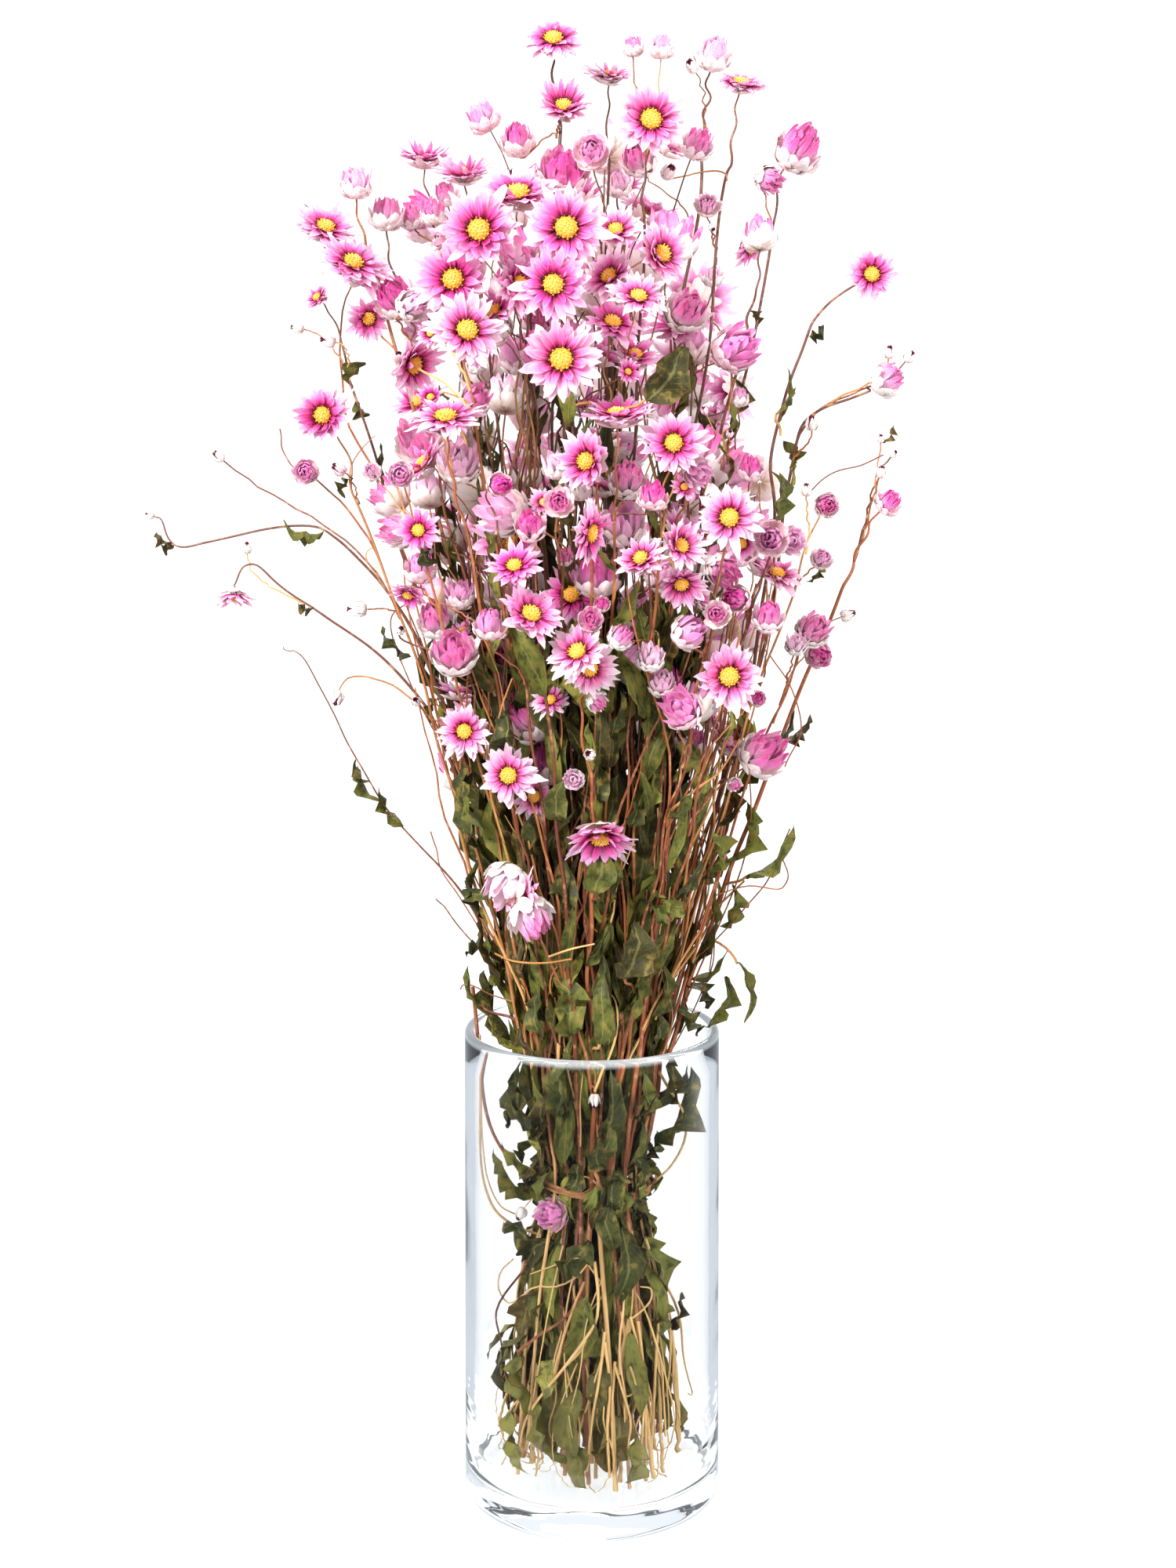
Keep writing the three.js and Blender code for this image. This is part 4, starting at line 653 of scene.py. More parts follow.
def tubes(paths, radii, sides, owner, shade, outer=1.0):
    """Round stems: point of path + radius * (u cos a + v sin a), closed at either end.

    outer tells how far out in the bunch each point is, for the painted shade of the stems: 0 in the middle
    and 1 outside.
    """
    count = paths.shape[1]
    rings = paths[:, :, None] + circle(*carried_frames(paths), sides) * radii[:, :, None, None]
    length = np.linalg.norm(np.diff(paths, axis=1), axis=-1).sum(axis=1)
    steps = np.linspace(0, 1, count)
    outer = np.pad(np.broadcast_to(outer, paths.shape[:2]), ((0, 0), (1, 1)), mode="edge")
    angle = 2 * np.pi * np.arange(sides) / sides
    return sealed(
        rings, paths[:, 0], paths[:, -1], owner, SLOT_STEM,
        along=on_rings(np.concatenate([[0], steps, [1]]), sides) * length[:, None],
        across=round_rings(angle / np.pi - 1, count), shade=np.asarray(shade)[:, None],
        tint=on_rings(outer, sides),
    )


def crooked(paths, size, places, shares, most=7):
    """Moves each path sideways by sine waves of its own, up to most of them, size times a share that goes
    through the shares given at the places along the path."""
    steps = np.linspace(0, 1, paths.shape[1])
    waves = draw(min(1.5, most / 3), most, (len(paths), 2, 3))
    phases = draw(0, 2 * np.pi, (len(paths), 2, 3))
    sway = np.sin(waves[..., None] * steps * 2 * np.pi + phases[..., None]).mean(axis=2)
    fade = np.interp(steps, places, shares)
    moved = paths.copy()
    moved[..., :2] += (sway * fade).transpose(0, 2, 1) * np.reshape(size, (-1, 1, 1))
    return moved


def thinning(count, places, shares):
    """Radii that go through the shares given at the places along a path of count points."""
    return np.interp(np.linspace(0, 1, count), places, shares)


def outer_share(points):
    """How far out in the bunch points lie: 1 where the outermost stems pass."""
    room = np.interp(points[..., 2], STEMS_Z, STEMS_REACH)
    return np.hypot(points[..., 0], points[..., 1] / DEPTH_SHARE) / room


# %% Stems and stalks
stem_paths = refine(curves, 4)
FINE = stem_paths.shape[1]
below = np.clip(1 - stem_paths[..., 2] / TIE_HEIGHT, 0, 1)
swing = draw(-0.24, 0.24, (STEM_COUNT, 1)) * below
x, y = stem_paths[..., 0].copy(), stem_paths[..., 1].copy()
stem_paths[..., 0] = x * np.cos(swing) - y * np.sin(swing)
stem_paths[..., 1] = x * np.sin(swing) + y * np.cos(swing)
stem_paths[..., 2] += draw(0, 1, (STEM_COUNT, 1)) ** 2 * 16 * below**3
stem_paths = crooked(
    stem_paths, np.where(OUTLYING, 0.6, 1.9), (0, 0.07, 0.13, 0.3, 0.94, 1), (1.6, 1.3, 0.1, 0.9, 1, 0), 9,
)
taper = thinning(FINE, [0, 0.25, 0.5, 0.75, 0.93, 1], [0.9, 0.88, 0.72, 0.56, 0.4, 0.35])
stem_radii = taper * draw(0.7, 1.15, (STEM_COUNT, 1))
stem_radii[OUTLYING] *= thinning(FINE, [0.2, 0.4], [1, 0.62])
stem_shade = np.where(OUTLYING, 0.15, rng.beta(1.3, 1.7, STEM_COUNT))
lots.append(tubes(stem_paths, stem_radii, 6, np.arange(STEM_COUNT), stem_shade, outer_share(stem_paths)))

stalk_paths = crooked(stalks, 1.0, *FREE_MIDDLE)
stalk_radii = thinning(17, [0, 1], [0.46, 0.3]) * draw(0.8, 1.15, (len(side), 1))
lots.append(tubes(stalk_paths, stalk_radii, 5, side_stem, draw(0, 1, len(side))))
print("stems and stalks:", sum(len(lot["points"]) for lot in lots))

# %% [markdown]
# ## Heads between the heads
#
# The crown holds more heads than can be read one by one: small ones, half hidden by the clear ones in front.
# They are drawn by chance inside the crown and kept where they neither sit in another head nor stand before
# one that was read. Each has a thin stalk that branches off a stem far below, and these stalks are many of
# the fine upright lines that the photograph shows between the leaves.

# %% Small heads and their stalks
def point_at_height(paths, z):
    """The point of each path at height z, on the first span that reaches it."""
    z = np.broadcast_to(z, len(paths))
    reached = paths[:, 1:-1, 2] >= z[:, None]
    k = np.where(reached.any(axis=1), 1 + reached.argmax(axis=1), paths.shape[1] - 1)
    row = np.arange(len(paths))
    low, high = paths[row, k - 1], paths[row, k]
    t = np.clip((z - low[:, 2]) / (high[:, 2] - low[:, 2]), 0, 1)[:, None]
    return low + (high - low) * t


CROWD, CROWD_DRAWS = 132, 14000
CROWD_Z = [286, 310, 340, 370, 400, 431, 450, 478, 500, 524, 542]
CROWD_LEFT = [-42, -58, -72, -78, -82, -78, -84, -98, -98, -64, -48]
CROWD_RIGHT = [46, 70, 82, 86, 84, 62, 60, 56, 46, 44, 40]


def crowd_places():
    """Place and size of each small head, from draws inside the oval crown."""
    draws = draw(0, 1, (CROWD_DRAWS, 4))
    z = CROWD_Z[0] + (CROWD_Z[-1] - CROWD_Z[0]) * draws[:, 0]
    left, right = np.interp(z, CROWD_Z, CROWD_LEFT), np.interp(z, CROWD_Z, CROWD_RIGHT)
    turn = 2 * np.pi * draws[:, 1]
    out = np.sqrt(draws[:, 2]) * ((right - left) / 2)
    at = xyz((left + right) / 2 + out * np.cos(turn), out * np.sin(turn) * 0.8, z)
    size = 7.5 + 4.5 * draws[:, 3]
    way = at[:, None] - head_at
    room = np.linalg.norm(way, axis=-1) / (radius + size[:, None])
    seen = np.hypot(way[..., 0], way[..., 2]) / (radius + size[:, None])
    hides = (seen < 0.85) & (way[..., 1] < 4) & ~turned & (kind != "l")
    kept = []
    for k in np.flatnonzero((room.min(axis=1) > 0.68) & ~hides.any(axis=1)):
        gap = np.linalg.norm(at[kept] - at[k], axis=-1) / (size[kept] + size[k])
        if len(kept) < CROWD and (gap > 0.8).all():
            kept.append(k)
    return at[kept], size[kept]


crowd_at, crowd_radius = crowd_places()
crowd_kind = rng.choice(["h", "o", "b"], CROWD, p=[0.56, 0.34, 0.1])
crowd_radius = crowd_radius * np.where(crowd_kind == "b", 0.55, np.where(crowd_kind == "o", 1.15, 1.0))
outwards = crowd_at * (0.011, 0.014, 0.0) + (0.0, 0.0, 0.75)
crowd_axis = unit(outwards + rng.normal(0, 0.4, (CROWD, 3)))
crowd_tint = rng.beta(1.6, 1.6, CROWD)
# Two pale ones low in front make a nodding cluster with the head that was read there
crowd_at[:2], crowd_radius[:2], crowd_kind[:2] = [(-32, -37, 247), (-23, -43, 236)], (10.0, 9.0), "h"
crowd_axis[:2], crowd_tint[:2] = unit(np.array([(-0.3, -0.6, -0.7), (0.45, -0.5, -0.75)])), 0.1

branch_height = np.clip(crowd_at[:, 2] - draw(70, 230, CROWD), 136, 330)
branch_spots = np.stack([point_at_height(stem_paths, height) for height in branch_height])
narrower = (outline(branch_height) / outline(crowd_at[:, 2]))[:, None]
miss = np.linalg.norm(branch_spots[..., :2] - (crowd_at[:, :2] * narrower)[:, None], axis=-1)
miss[(stem_paths[:, -8, 2] < branch_height[:, None] + 25) | OUTLYING] = np.inf
crowd_stem = miss.argmin(axis=1)
branch_start = branch_spots[np.arange(CROWD), crowd_stem]
above = point_at_height(stem_paths[crowd_stem], branch_height + 6)
crowd_foot = crowd_at - crowd_axis * crowd_radius[:, None] * 0.7
crowd_stalks = bezier(branch_start, unit(above - branch_start), crowd_foot, crowd_axis, 22)
crowd_stalks = crooked(crowd_stalks, 2.4, *FREE_MIDDLE, 5)
crowd_widths = thinning(23, [0, 0.5, 1], [0.62, 0.45, 0.3]) * draw(0.75, 1.2, (CROWD, 1))
lots.append(tubes(crowd_stalks, crowd_widths, 5, crowd_stem, draw(0, 1, CROWD), outer_share(crowd_stalks)))
print(CROWD, "small heads between the others")

# %% [markdown]
# Below the crown the stems bear thin side shoots that run up along with them. They start close above the
# tie and end among the flowers. Most pass near the outside of the bunch, and there they show as fine golden
# and red-brown lines before the dark leaves.

# %% Side shoots
def side_shoots(number):
    """Thin stems from just above the tie, that keep to a share of the bunch's reach and drift sideways."""
    owner = rng.choice(np.flatnonzero(~OUTLYING), number)
    height = draw(TIE_HEIGHT + 4, 190, number)
    start = point_at_height(stem_paths[owner], height)
    top = draw(250, 400, number)
    turn = np.arctan2(start[:, 1] / DEPTH_SHARE, start[:, 0])[:, None]
    t = np.linspace(0, 1, 19)[None]
    z = height[:, None] + (top - height)[:, None] * t
    from_share = outer_share(start)[:, None]
    to_share = draw(0.5, 1.0, (number, 1))
    out = np.interp(z, STEMS_Z, STEMS_REACH) * (from_share + (to_share - from_share) * np.minimum(1, 2.2 * t))
    drift = turn + draw(-0.9, 0.9, (number, 1)) * t + 0.12 * np.sin(2 * np.pi * (1.3 * t + to_share * 9)) * t
    paths = crooked(xyz(out * np.cos(drift), out * np.sin(drift) * DEPTH_SHARE, z), 2.0, *FREE_MIDDLE, 5)
    radii = thinning(19, [0, 0.5, 1], [0.62, 0.5, 0.25]) * draw(0.75, 1.2, (number, 1))
    lots.append(tubes(paths, radii, 5, owner, rng.beta(1.4, 1.8, number), outer_share(paths)))
    return number


print(side_shoots(120), "side shoots")

# Every bloom, those of the table first: the blades below are made from these
bloom_at, bloom_axis = np.concatenate([head_at, crowd_at]), np.concatenate([head_axis, crowd_axis])
bloom_radius, bloom_kind = np.concatenate([radius, crowd_radius]), np.concatenate([kind, crowd_kind])
bloom_tint, bloom_stem = np.concatenate([tint, crowd_tint]), np.concatenate([stem_of, crowd_stem])
small = np.arange(len(bloom_at)) >= len(head_at)
# Many heads are lopsided: on one side their petals stand up
bloom_lean = 0.75 * rng.beta(1.1, 2.6, len(bloom_at))
bloom_lean_way = draw(0, 2 * np.pi, len(bloom_at))

# %% [markdown]
# ## Papery blades
#
# Petals and scales are blades: a middle line, a width that swells and narrows, and a thin lens as
# cross-section so that the blade is closed. Each middle line is a curve of distance from the head's axis
# against height along it, and is then turned round the axis to its own angle. The end of a petal is not a
# point: it is cut into a few teeth, so the last ring is pulled out and in by turns.

# %% Blades of the flower heads
PETAL_T, SCALE_T = np.array([0.2, 0.47, 0.73, 0.91]), np.array([0.3, 0.65, 0.91])
CORNERS = np.arange(6)
# A lens of six corners: places across from 1 to -1 and back, over +1 or under -1, and whose draw each shares
ACROSS = np.where(CORNERS <= 3, 1 - 2 * CORNERS / 3, -3 + 2 * CORNERS / 3)
LENS = np.where(CORNERS <= 3, 1.0, -1.0) * (1 - ACROSS**2)
CORNER_OF = np.array([0, 1, 2, 3, 2, 1])


def tall(values):
    """One value a shape, with the axes of a ring and its corners added."""
    return np.asarray(values)[:, None, None]


def rolled(out, up, angle):
    """A section's out and up turned about the middle line by an angle."""
    return out * np.cos(angle) - up * np.sin(angle), out * np.sin(angle) + up * np.cos(angle)


def level_frame(axis):
    """Two directions square to an axis, the first as level as it can be."""
    aside = np.where(np.abs(axis[:, 2:]) > 0.96, (1.0, 0.0, 0.0), (0.0, 0.0, 1.0))
    u = unit(np.cross(aside, axis))
    return u, np.cross(axis, u)


def turned_frame(axis, angle):
    """The direction away from an axis at an angle round it, and the one along the round."""
    u, v = level_frame(axis)
    return u * np.cos(angle) + v * np.sin(angle), v * np.cos(angle) - u * np.sin(angle)


def head_blades(heads, turn, start, bend, tip, width, cup, slot, t=PETAL_T, blunt=(0.6, 1.15), teeth=0.05,
                thin=0.09, wave=0.06, roll=0.4, marks=None):
    """Blades of flower heads, one for each entry of heads.

    start, bend and tip are (distance from the axis, height along it) and make a quadratic curve. Half the
    width is (0.25 + t)^w (1 - t^2)^blunt, brought to the width given. Across the blade its edges rise by cup
    times the width, squared with the distance from the middle line. wave buckles the blade, roll turns it
    about its own line towards the tip, and teeth is how deep its end is cut, as a share of its length.
    The mark along runs between the two marks given, and without them it tells the distance from the axis.
    """
    count, s = len(heads), ACROSS
    t_all = np.concatenate([[0], t, [1 - teeth]])
    a, b, c = (v[:, None, :] for v in (start, bend, tip))
    tt = t_all[None, :, None]
    line = a * (1 - tt) ** 2 + 2 * b * tt * (1 - tt) + c * tt**2
    slope = unit(2 * (b - a) * (1 - tt) + 2 * (c - b) * tt)
    normal = xyz(-slope[..., 1], slope[..., 0])
    w = (0.25 + t) ** draw(0.6, 1.0, (count, 1)) * (1 - t**2) ** draw(*blunt, (count, 1))
    w = (w / w.max(axis=1, keepdims=True) * width[:, None])[..., None]
    size = tall(width)
    out = w * s * (1 + 0.08 * draw(-1, 1, (count, len(t), 4))[..., CORNER_OF])
    phase = draw(0, 1, (2, count, 1, 1))
    turns = draw((0.6, 1.0), (1.5, 2.2), (count, 2)).T[..., None, None]
    buckle = np.sin(2 * np.pi * (turns[0] * t[:, None] + phase[0])) * (1 - np.abs(s)) * 1.6
    ripple = np.sin(2 * np.pi * (turns[1] * t[:, None] + 0.4 * s + phase[1])) * 1.2
    rise = tall(cup) * w * s**2 + thin * LENS + wave * size * (buckle + ripple)
    out, rise = rolled(out, rise, roll * draw(-1, 1, (count, 1, 1)) * t[:, None])
    inner = line[:, 1:-1, None] + normal[:, 1:-1, None] * rise[..., None]
    span = np.linalg.norm(c - a, axis=-1)
    cut = (np.array([-1.1, 0.5, 0.5, -1.1]) + draw(-1, 1, (count, 4)))[:, CORNER_OF] * teeth * span
    inner[:, -1] += slope[:, -2, None] * cut[..., None]
    at, axis = tall(bloom_at[heads]), tall(bloom_axis[heads])
    radial, around = (tall(v) for v in turned_frame(bloom_axis[heads], turn[:, None]))
    sway = draw(-0.6, 0.6, (count, 1, 1)) * t[:, None] ** 2 * size
    rings = at + radial * inner[..., :1] + axis * inner[..., 1:] + around * (out + sway)[..., None]
    ends = at[:, 0] + radial[:, 0] * line[..., :1] + axis[:, 0] * line[..., 1:]
    ends[:, -1] += around[:, 0, 0] * sway[:, -1]
    along = line[..., 0] / bloom_radius[heads][:, None]
    if marks:
        along = np.broadcast_to(marks[0] + (marks[1] - marks[0]) * t_all, (count, len(t_all)))
    return sealed(
        rings, ends[:, 0], ends[:, -1], bloom_stem[heads], slot,
        along=on_rings(along, len(s)), across=round_rings(s, len(t)),
        tint=bloom_tint[heads][:, None], shade=draw(0, 1, (count, 1)),
    )


def rosette(
    heads, number, start, bend, tip, follow, width, cup, slot, spin, lean, flare, droop, loose=0.06, **form,
):
    """number blades round each head, evenly but not exactly, with curves given as shares of its size.

    The tip moves out with the head's flare and up with its droop, by the two shares in follow. spin turns
    the layer by a share of a step, and lean lifts the blades on one side of a lopsided head.
    """
    many = np.repeat(heads, number)
    count, scale = len(many), bloom_radius[many]
    order = np.tile(np.arange(number), len(heads))
    turn = 2 * np.pi * (order + spin) / number + np.repeat(draw(0, 0.3, len(heads)), number)
    turn = turn + rng.normal(0, 0.85 / number, count)
    tilt = rng.normal(0, loose, count) + np.where(draw(0, 1, count) < 0.1, 0.18, 0.0)
    lifted = lean * bloom_lean[many] * (0.5 + 0.5 * np.cos(turn - bloom_lean_way[many]))
    tip = (tip[0] + follow[0] * flare, tip[1] + follow[1] * droop)
    start, bend, tip = (
        np.repeat(np.broadcast_to(xyz(*place), (len(heads), 2)), number, axis=0)
        for place in (start, bend, tip)
    )
    tip = tip * (1 + rng.normal(-0.3 * loose, loose, (count, 1)))
    tip[:, 1] += tilt + lifted
    tip[:, 0] *= 1 - 0.45 * lifted
    bend[:, 1] += 0.25 * lifted
    bend = bend * (1 + rng.normal(0, loose * 0.6, (count, 1)))
    start, bend, tip = (place * scale[:, None] for place in (start, bend, tip))
    widths, cups = width * scale * draw(0.8, 1.15, count), cup + rng.normal(0, 0.08, count)
    return head_blades(many, turn, start, bend, tip, widths, cups, slot, **form)


def add_rosettes(heads, numbers, layers, petal, scale, flare=0.0, droop=0.0):
    """One rosette a layer, with the form of a petal or of a scale."""
    for number, layer in zip(numbers, layers):
        if number:
            form = scale if layer[6] == SLOT_BRACT else petal
            lots.append(rosette(heads, number, *layer, flare, droop, **form))


def pick(kinds, low=0.0, high=99.0, crowded=None):
    """Numbers of the blooms of a kind with a radius between low and high, small ones in the crowd or not."""
    fits = (bloom_kind == kinds) & (bloom_radius > low) & (bloom_radius <= high)
    return np.flatnonzero(fits if crowded is None else fits & (small == crowded))


# %% [markdown]
# ## Open heads
#
# An open head carries its petals in layers. The outermost lie flat or bend back, the inner ones stand up
# steeper and shorter, and white papery scales close the cone below. Big heads have more petals a layer.

# %% Petals of the open heads
# A layer is start, bend, tip, the shares that follow flare and droop, width, cup, slot, spin and lean
OPEN_LAYERS = [
    ((0.2, -0.12), (0.7, 0.02), (1.2, 0.0), (0, 1), 0.165, 0.16, SLOT_PETAL, 0.0, 1.0),
    ((0.2, -0.02), (0.66, 0.12), (1.1, 0.18), (0, 1), 0.15, 0.2, SLOT_PETAL, 0.5, 1.0),
    ((0.2, 0.02), (0.52, 0.18), (0.86, 0.32), (0, 1), 0.12, 0.26, SLOT_PETAL, 0.2, 1.0),
    ((0.04, -0.4), (0.46, -0.34), (0.78, -0.1), (0, 0), 0.19, 0.3, SLOT_BRACT, 0.3, 0.0),
]
CORE_LAYERS = [
    ((0.08, -0.6), (0.95, -0.4), (0.56, 0.84), (1, 0), 0.25, 0.24, SLOT_PETAL, 0.0, 0.4),
    ((0.06, -0.5), (0.84, -0.05), (0.28, 0.94), (0.6, 0), 0.28, 0.28, SLOT_PETAL, 0.5, 0.0),
    ((0.04, -0.4), (0.55, 0.3), (0.06, 0.98), (0, 0), 0.24, 0.3, SLOT_PETAL, 0.2, 0.0),
]
GOBLET_LAYERS = [
    ((0.08, -0.72), (1.02, -0.62), (0.92, 0.3), (0.5, 1), 0.34, 0.18, SLOT_BRACT, 0.4, 0.0),
    ((0.07, -0.76), (1.02, -0.74), (0.92, 0.0), (0.3, 1), 0.33, 0.18, SLOT_BRACT, 0.0, 0.0),
    ((0.06, -0.8), (0.8, -0.86), (0.84, -0.38), (0, 0), 0.3, 0.2, SLOT_BRACT, 0.2, 0.0),
]
BUD_LAYERS = [
    ((0.05, -0.5), (0.8, -0.3), (0.1, 1.02), (0, 0), 0.32, 0.3, SLOT_PETAL, 0.0, 0.0),
    ((0.08, -0.84), (1.05, -0.7), (0.34, 0.86), (0, 0), 0.34, 0.3, SLOT_BRACT, 0.5, 0.0),
    ((0.08, -0.86), (0.95, -0.9), (0.74, 0.3), (0, 0), 0.32, 0.3, SLOT_BRACT, 0.0, 0.0),
]
PETAL_SHAPE, SHORT = {"loose": 0.13, "wave": 0.09}, {"t": SCALE_T}
CORE_SHAPE = {"blunt": (0.4, 0.8), "roll": 0.2, "wave": 0.09}
SCALE_SHAPE = {"blunt": (0.45, 0.75), "teeth": 0.03, "roll": 0.08, "wave": 0.03, "marks": (0.0, 1.0), **SHORT}
for low, high, crowded, numbers in (
    (9.0, 99.0, False, (15, 14, 9, 9)), (0.0, 9.0, False, (12, 11, 6, 7)), (0.0, 99.0, True, (12, 11, 5, 7)),
):
    open_heads = pick("o", low, high, crowded)
    droop = draw(-0.14, 0.12, len(open_heads))
    form = {**PETAL_SHAPE, **SHORT} if crowded else PETAL_SHAPE
    add_rosettes(open_heads, numbers, OPEN_LAYERS, form, SCALE_SHAPE, droop=droop)
print(len(pick("o")), "open heads")

# %% [markdown]
# ## Half-open heads and buds
#
# A half-open head is a goblet: broad creamy scales hug it from below, shingled close and smooth, and the
# hot pink petals close over the middle like a rose, the outer ones standing up round them. Looked into, it
# is a bright core in a pale ring. A bud is the same with everything shut.

# %% Petals of the half-open heads
def flaring(count, often, wide):
    """How far each head's tips stand out: for some often of them, drawn from 0.1 to wide."""
    return np.where(draw(0, 1, count) < often, draw(0.1, wide, count), 0.0)


for crowded, numbers in ((False, (9, 8, 6, 11, 10, 8)), (True, (8, 6, 0, 9, 8, 0))):
    half = pick("h", crowded=crowded)
    for mine, marks in ((half[half % 5 < 3], (1.15, 0.44)), (half[half % 5 > 2], (1.2, 0.68))):
        form = {**CORE_SHAPE, "marks": marks, **(SHORT if crowded else {})}
        add_rosettes(mine, numbers[:3], CORE_LAYERS, form, SCALE_SHAPE, flaring(len(mine), 0.45, 0.5))
    flare, droop = flaring(len(half), 0.35, 0.4), draw(-0.16, 0.12, len(half))
    add_rosettes(half, numbers[3:], GOBLET_LAYERS, CORE_SHAPE, SCALE_SHAPE, flare, droop)
buds = pick("b")
add_rosettes(buds, (6, 7, 6), BUD_LAYERS, {**CORE_SHAPE, "loose": 0.02}, {**SCALE_SHAPE, "loose": 0.03})
print(len(pick("h")), "half-open heads,", len(buds), "buds")

# %% [markdown]
# ## Discs
#
# The yellow middle of a daisy is a dome packed with tiny florets, again in a sunflower pattern. Each floret
# here is a short peg of four sides with a pointed end, and the outermost ring is dark, as the photograph
# shows. The half-open heads that one looks into have none to see.

# %% Domes and florets
DOME = np.array([(0.24, -0.02), (0.3, 0.08), (0.26, 0.15), (0.17, 0.2)])
DOME_LOW, DOME_TOP = -0.06, 0.22
FLORETS, FLORETS_FROM = 44, 6.0


def domes(heads):
    """A closed dome: rings at 0.24, 0.3, 0.26 and 0.17 of the radius, rising to 0.22 of it."""
    at, axis, size = bloom_at[heads], bloom_axis[heads], bloom_radius[heads][:, None]
    ring = circle(*level_frame(axis), 10)
    out, high = DOME.T[..., None, None]
    rings = at[:, None, None] + (ring[:, None] * out + axis[:, None, None] * high) * size[..., None, None]
    low, top = at + axis * size * DOME_LOW, at + axis * size * DOME_TOP
    return sealed(rings, low, top, bloom_stem[heads], SLOT_DISC, along=0.9, tint=bloom_tint[heads][:, None])


def florets(heads):
    """Pegs at r = 0.31 sqrt((k + 0.5) / n), each with two rings of four points and a tip."""
    many, order = np.repeat(heads, FLORETS), np.tile(np.arange(FLORETS), len(heads))[:, None]
    at, axis, size, count = bloom_at[many], bloom_axis[many], bloom_radius[many][:, None], len(many)
    out = np.sqrt((order + 0.5) / FLORETS)
    radial, around = turned_frame(axis, order * GOLDEN_ANGLE + rng.normal(0, 0.05, (count, 1)))
    height = 0.23 - 0.13 * out**3 + rng.normal(0, 0.008, (count, 1))
    way = unit(axis + radial * out * 0.75 + rng.normal(0, 0.08, (count, 3)))
    foot = at + (radial * 0.3 * out + axis * (height - 0.06)) * size
    thick = size[:, None] * draw(0.023, 0.032, (count, 1, 1))
    ring = circle(around, np.cross(around, way), 4)[:, ::-1] * thick
    rings = np.stack([foot[:, None] + ring * 0.8, (foot + way * size * 0.075)[:, None] + ring], axis=1)
    return sealed(
        rings, foot, foot + way * size * 0.1, bloom_stem[many], SLOT_DISC,
        along=out, tint=bloom_tint[many][:, None], shade=draw(0, 1, (count, 1)),
    )


lots.append(domes(pick("o")))
lots.append(florets(pick("o", FLORETS_FROM)))
print(len(pick("o")), "discs")

# %% [markdown]
# ## Leaves
#
# Dried leaves are broad blades that have folded along the midrib, curled lengthwise and crumpled, with a
# ragged edge. One function makes them all. The leaves that the solids carry come first, by the same seeded
# draws, and then many more fill the bunch between the stems, as the photograph shows.

# %% One function for every leaf
LEAF_T = np.array([0.03, 0.13, 0.27, 0.43, 0.6, 0.76, 0.9])
FINE_T = np.array([0.02, 0.08, 0.17, 0.28, 0.4, 0.52, 0.64, 0.76, 0.87, 0.95])
LEAF_THIN = 0.12


def leaf_blades(root, tip, width, owner, arch, fold, curl, twist, shade, ragged=0.13, crumple=0.22, t=LEAF_T):
    """Closed leaves from root to tip.

    Middle line: root + t (tip - root) + face arch 4 t (1 - t), with the tip rolled over by curl t^2.
    Width: t^0.6 (1 - t)^0.8, its edges wavy by ragged. Height over the middle line: fold |s|^1.5, so that
    the leaf is a trough, plus sine buckles of crumple times the width. arch, fold, curl, twist and shade
    are a value a leaf or one for all.
    """
    count, s, fine = len(root), ACROSS, len(t) / 10
    arch, fold, curl, twist = (tall(np.broadcast_to(value, count)) for value in (arch, fold, curl, twist))
    span, way = tall(np.linalg.norm(tip - root, axis=-1)), unit(tip - root)
    side = unit(np.cross(way, unit(root * (1, 1, 0) + (0.01, 0.02, 0))))
    face = np.cross(side, way)
    across_way, up_way = side[:, None, None], face[:, None, None]
    tt = t[:, None]
    w = tt**0.6 * (1 - tt) ** 0.8
    w = w / w.max()
    p = draw(0, 1, (6, count, 1, 1))
    half, size = tall(width) * 0.5 * w, tall(width) * crumple
    waves = np.sin(2 * np.pi * (3.1 * fine * tt + np.where(s > 0, p[4], p[5]))) * 0.6
    edge = 1 + ragged * (waves + 0.25 * draw(-1, 1, (count, len(t), 4))[..., CORNER_OF])
    buckle = 0.5 * np.sin(2 * np.pi * (1.7 * tt + p[0])) * (1 - s**2 * 0.5)
    swing = np.sin(2 * np.pi * (2.3 * tt + p[1])) * s
    ripple = 0.6 * np.sin(2 * np.pi * (3.3 * fine * tt + 0.3 * s + p[2])) * np.abs(s)
    rise = half * np.abs(s) ** 1.5 * fold + LEAF_THIN * LENS + size * (buckle + w * (swing + ripple))
    out, rise = rolled(half * s * edge, rise, twist * tt)
    t_all = np.concatenate([[0], t, [1]])[:, None]
    bow = arch * span * 4 * t_all * (1 - t_all) - curl * span * t_all**2
    back = np.abs(curl) * span * 0.5 * t_all**2
    line = root[:, None] + way[:, None] * (span * t_all - back) + face[:, None] * bow
    line[:, 1:-1] += side[:, None] * (size * 0.6 * np.sin(2 * np.pi * (0.9 * tt + p[3])))
    rings = line[:, 1:-1, None] + across_way * out[..., None] + up_way * rise[..., None]
    return sealed(
        rings[:, :, ::-1], line[:, 0], line[:, -1], owner, SLOT_LEAF,
        along=on_rings(t_all.T, len(s)), across=round_rings(s[::-1], len(t)),
        # how far out the leaf lies, which the leaf material uses to darken the inside of the bunch as painted
        # shade
        tint=on_rings(np.clip(outer_share(line), 0, 1.2), len(s)),
        shade=np.broadcast_to(shade, count)[:, None],
    )


# %% Leaves that the solids have: drawn by the same rule
LEAF_SLOT, LEAF_HEIGHTS = 0.72, [24, 52, 140, 168, 198, 228, 258, 288, 318]
LEAF_LENGTH, LEAF_WIDTH, LEAF_LIFT = (15, 26), (6, 10), (40, 72)
LEAF_CLEAR, LEAF_KEPT, SEED = 3.0, 0.2, 20261
PARK_MILLER, PARK_MILLER_END = 16807, 2147483647


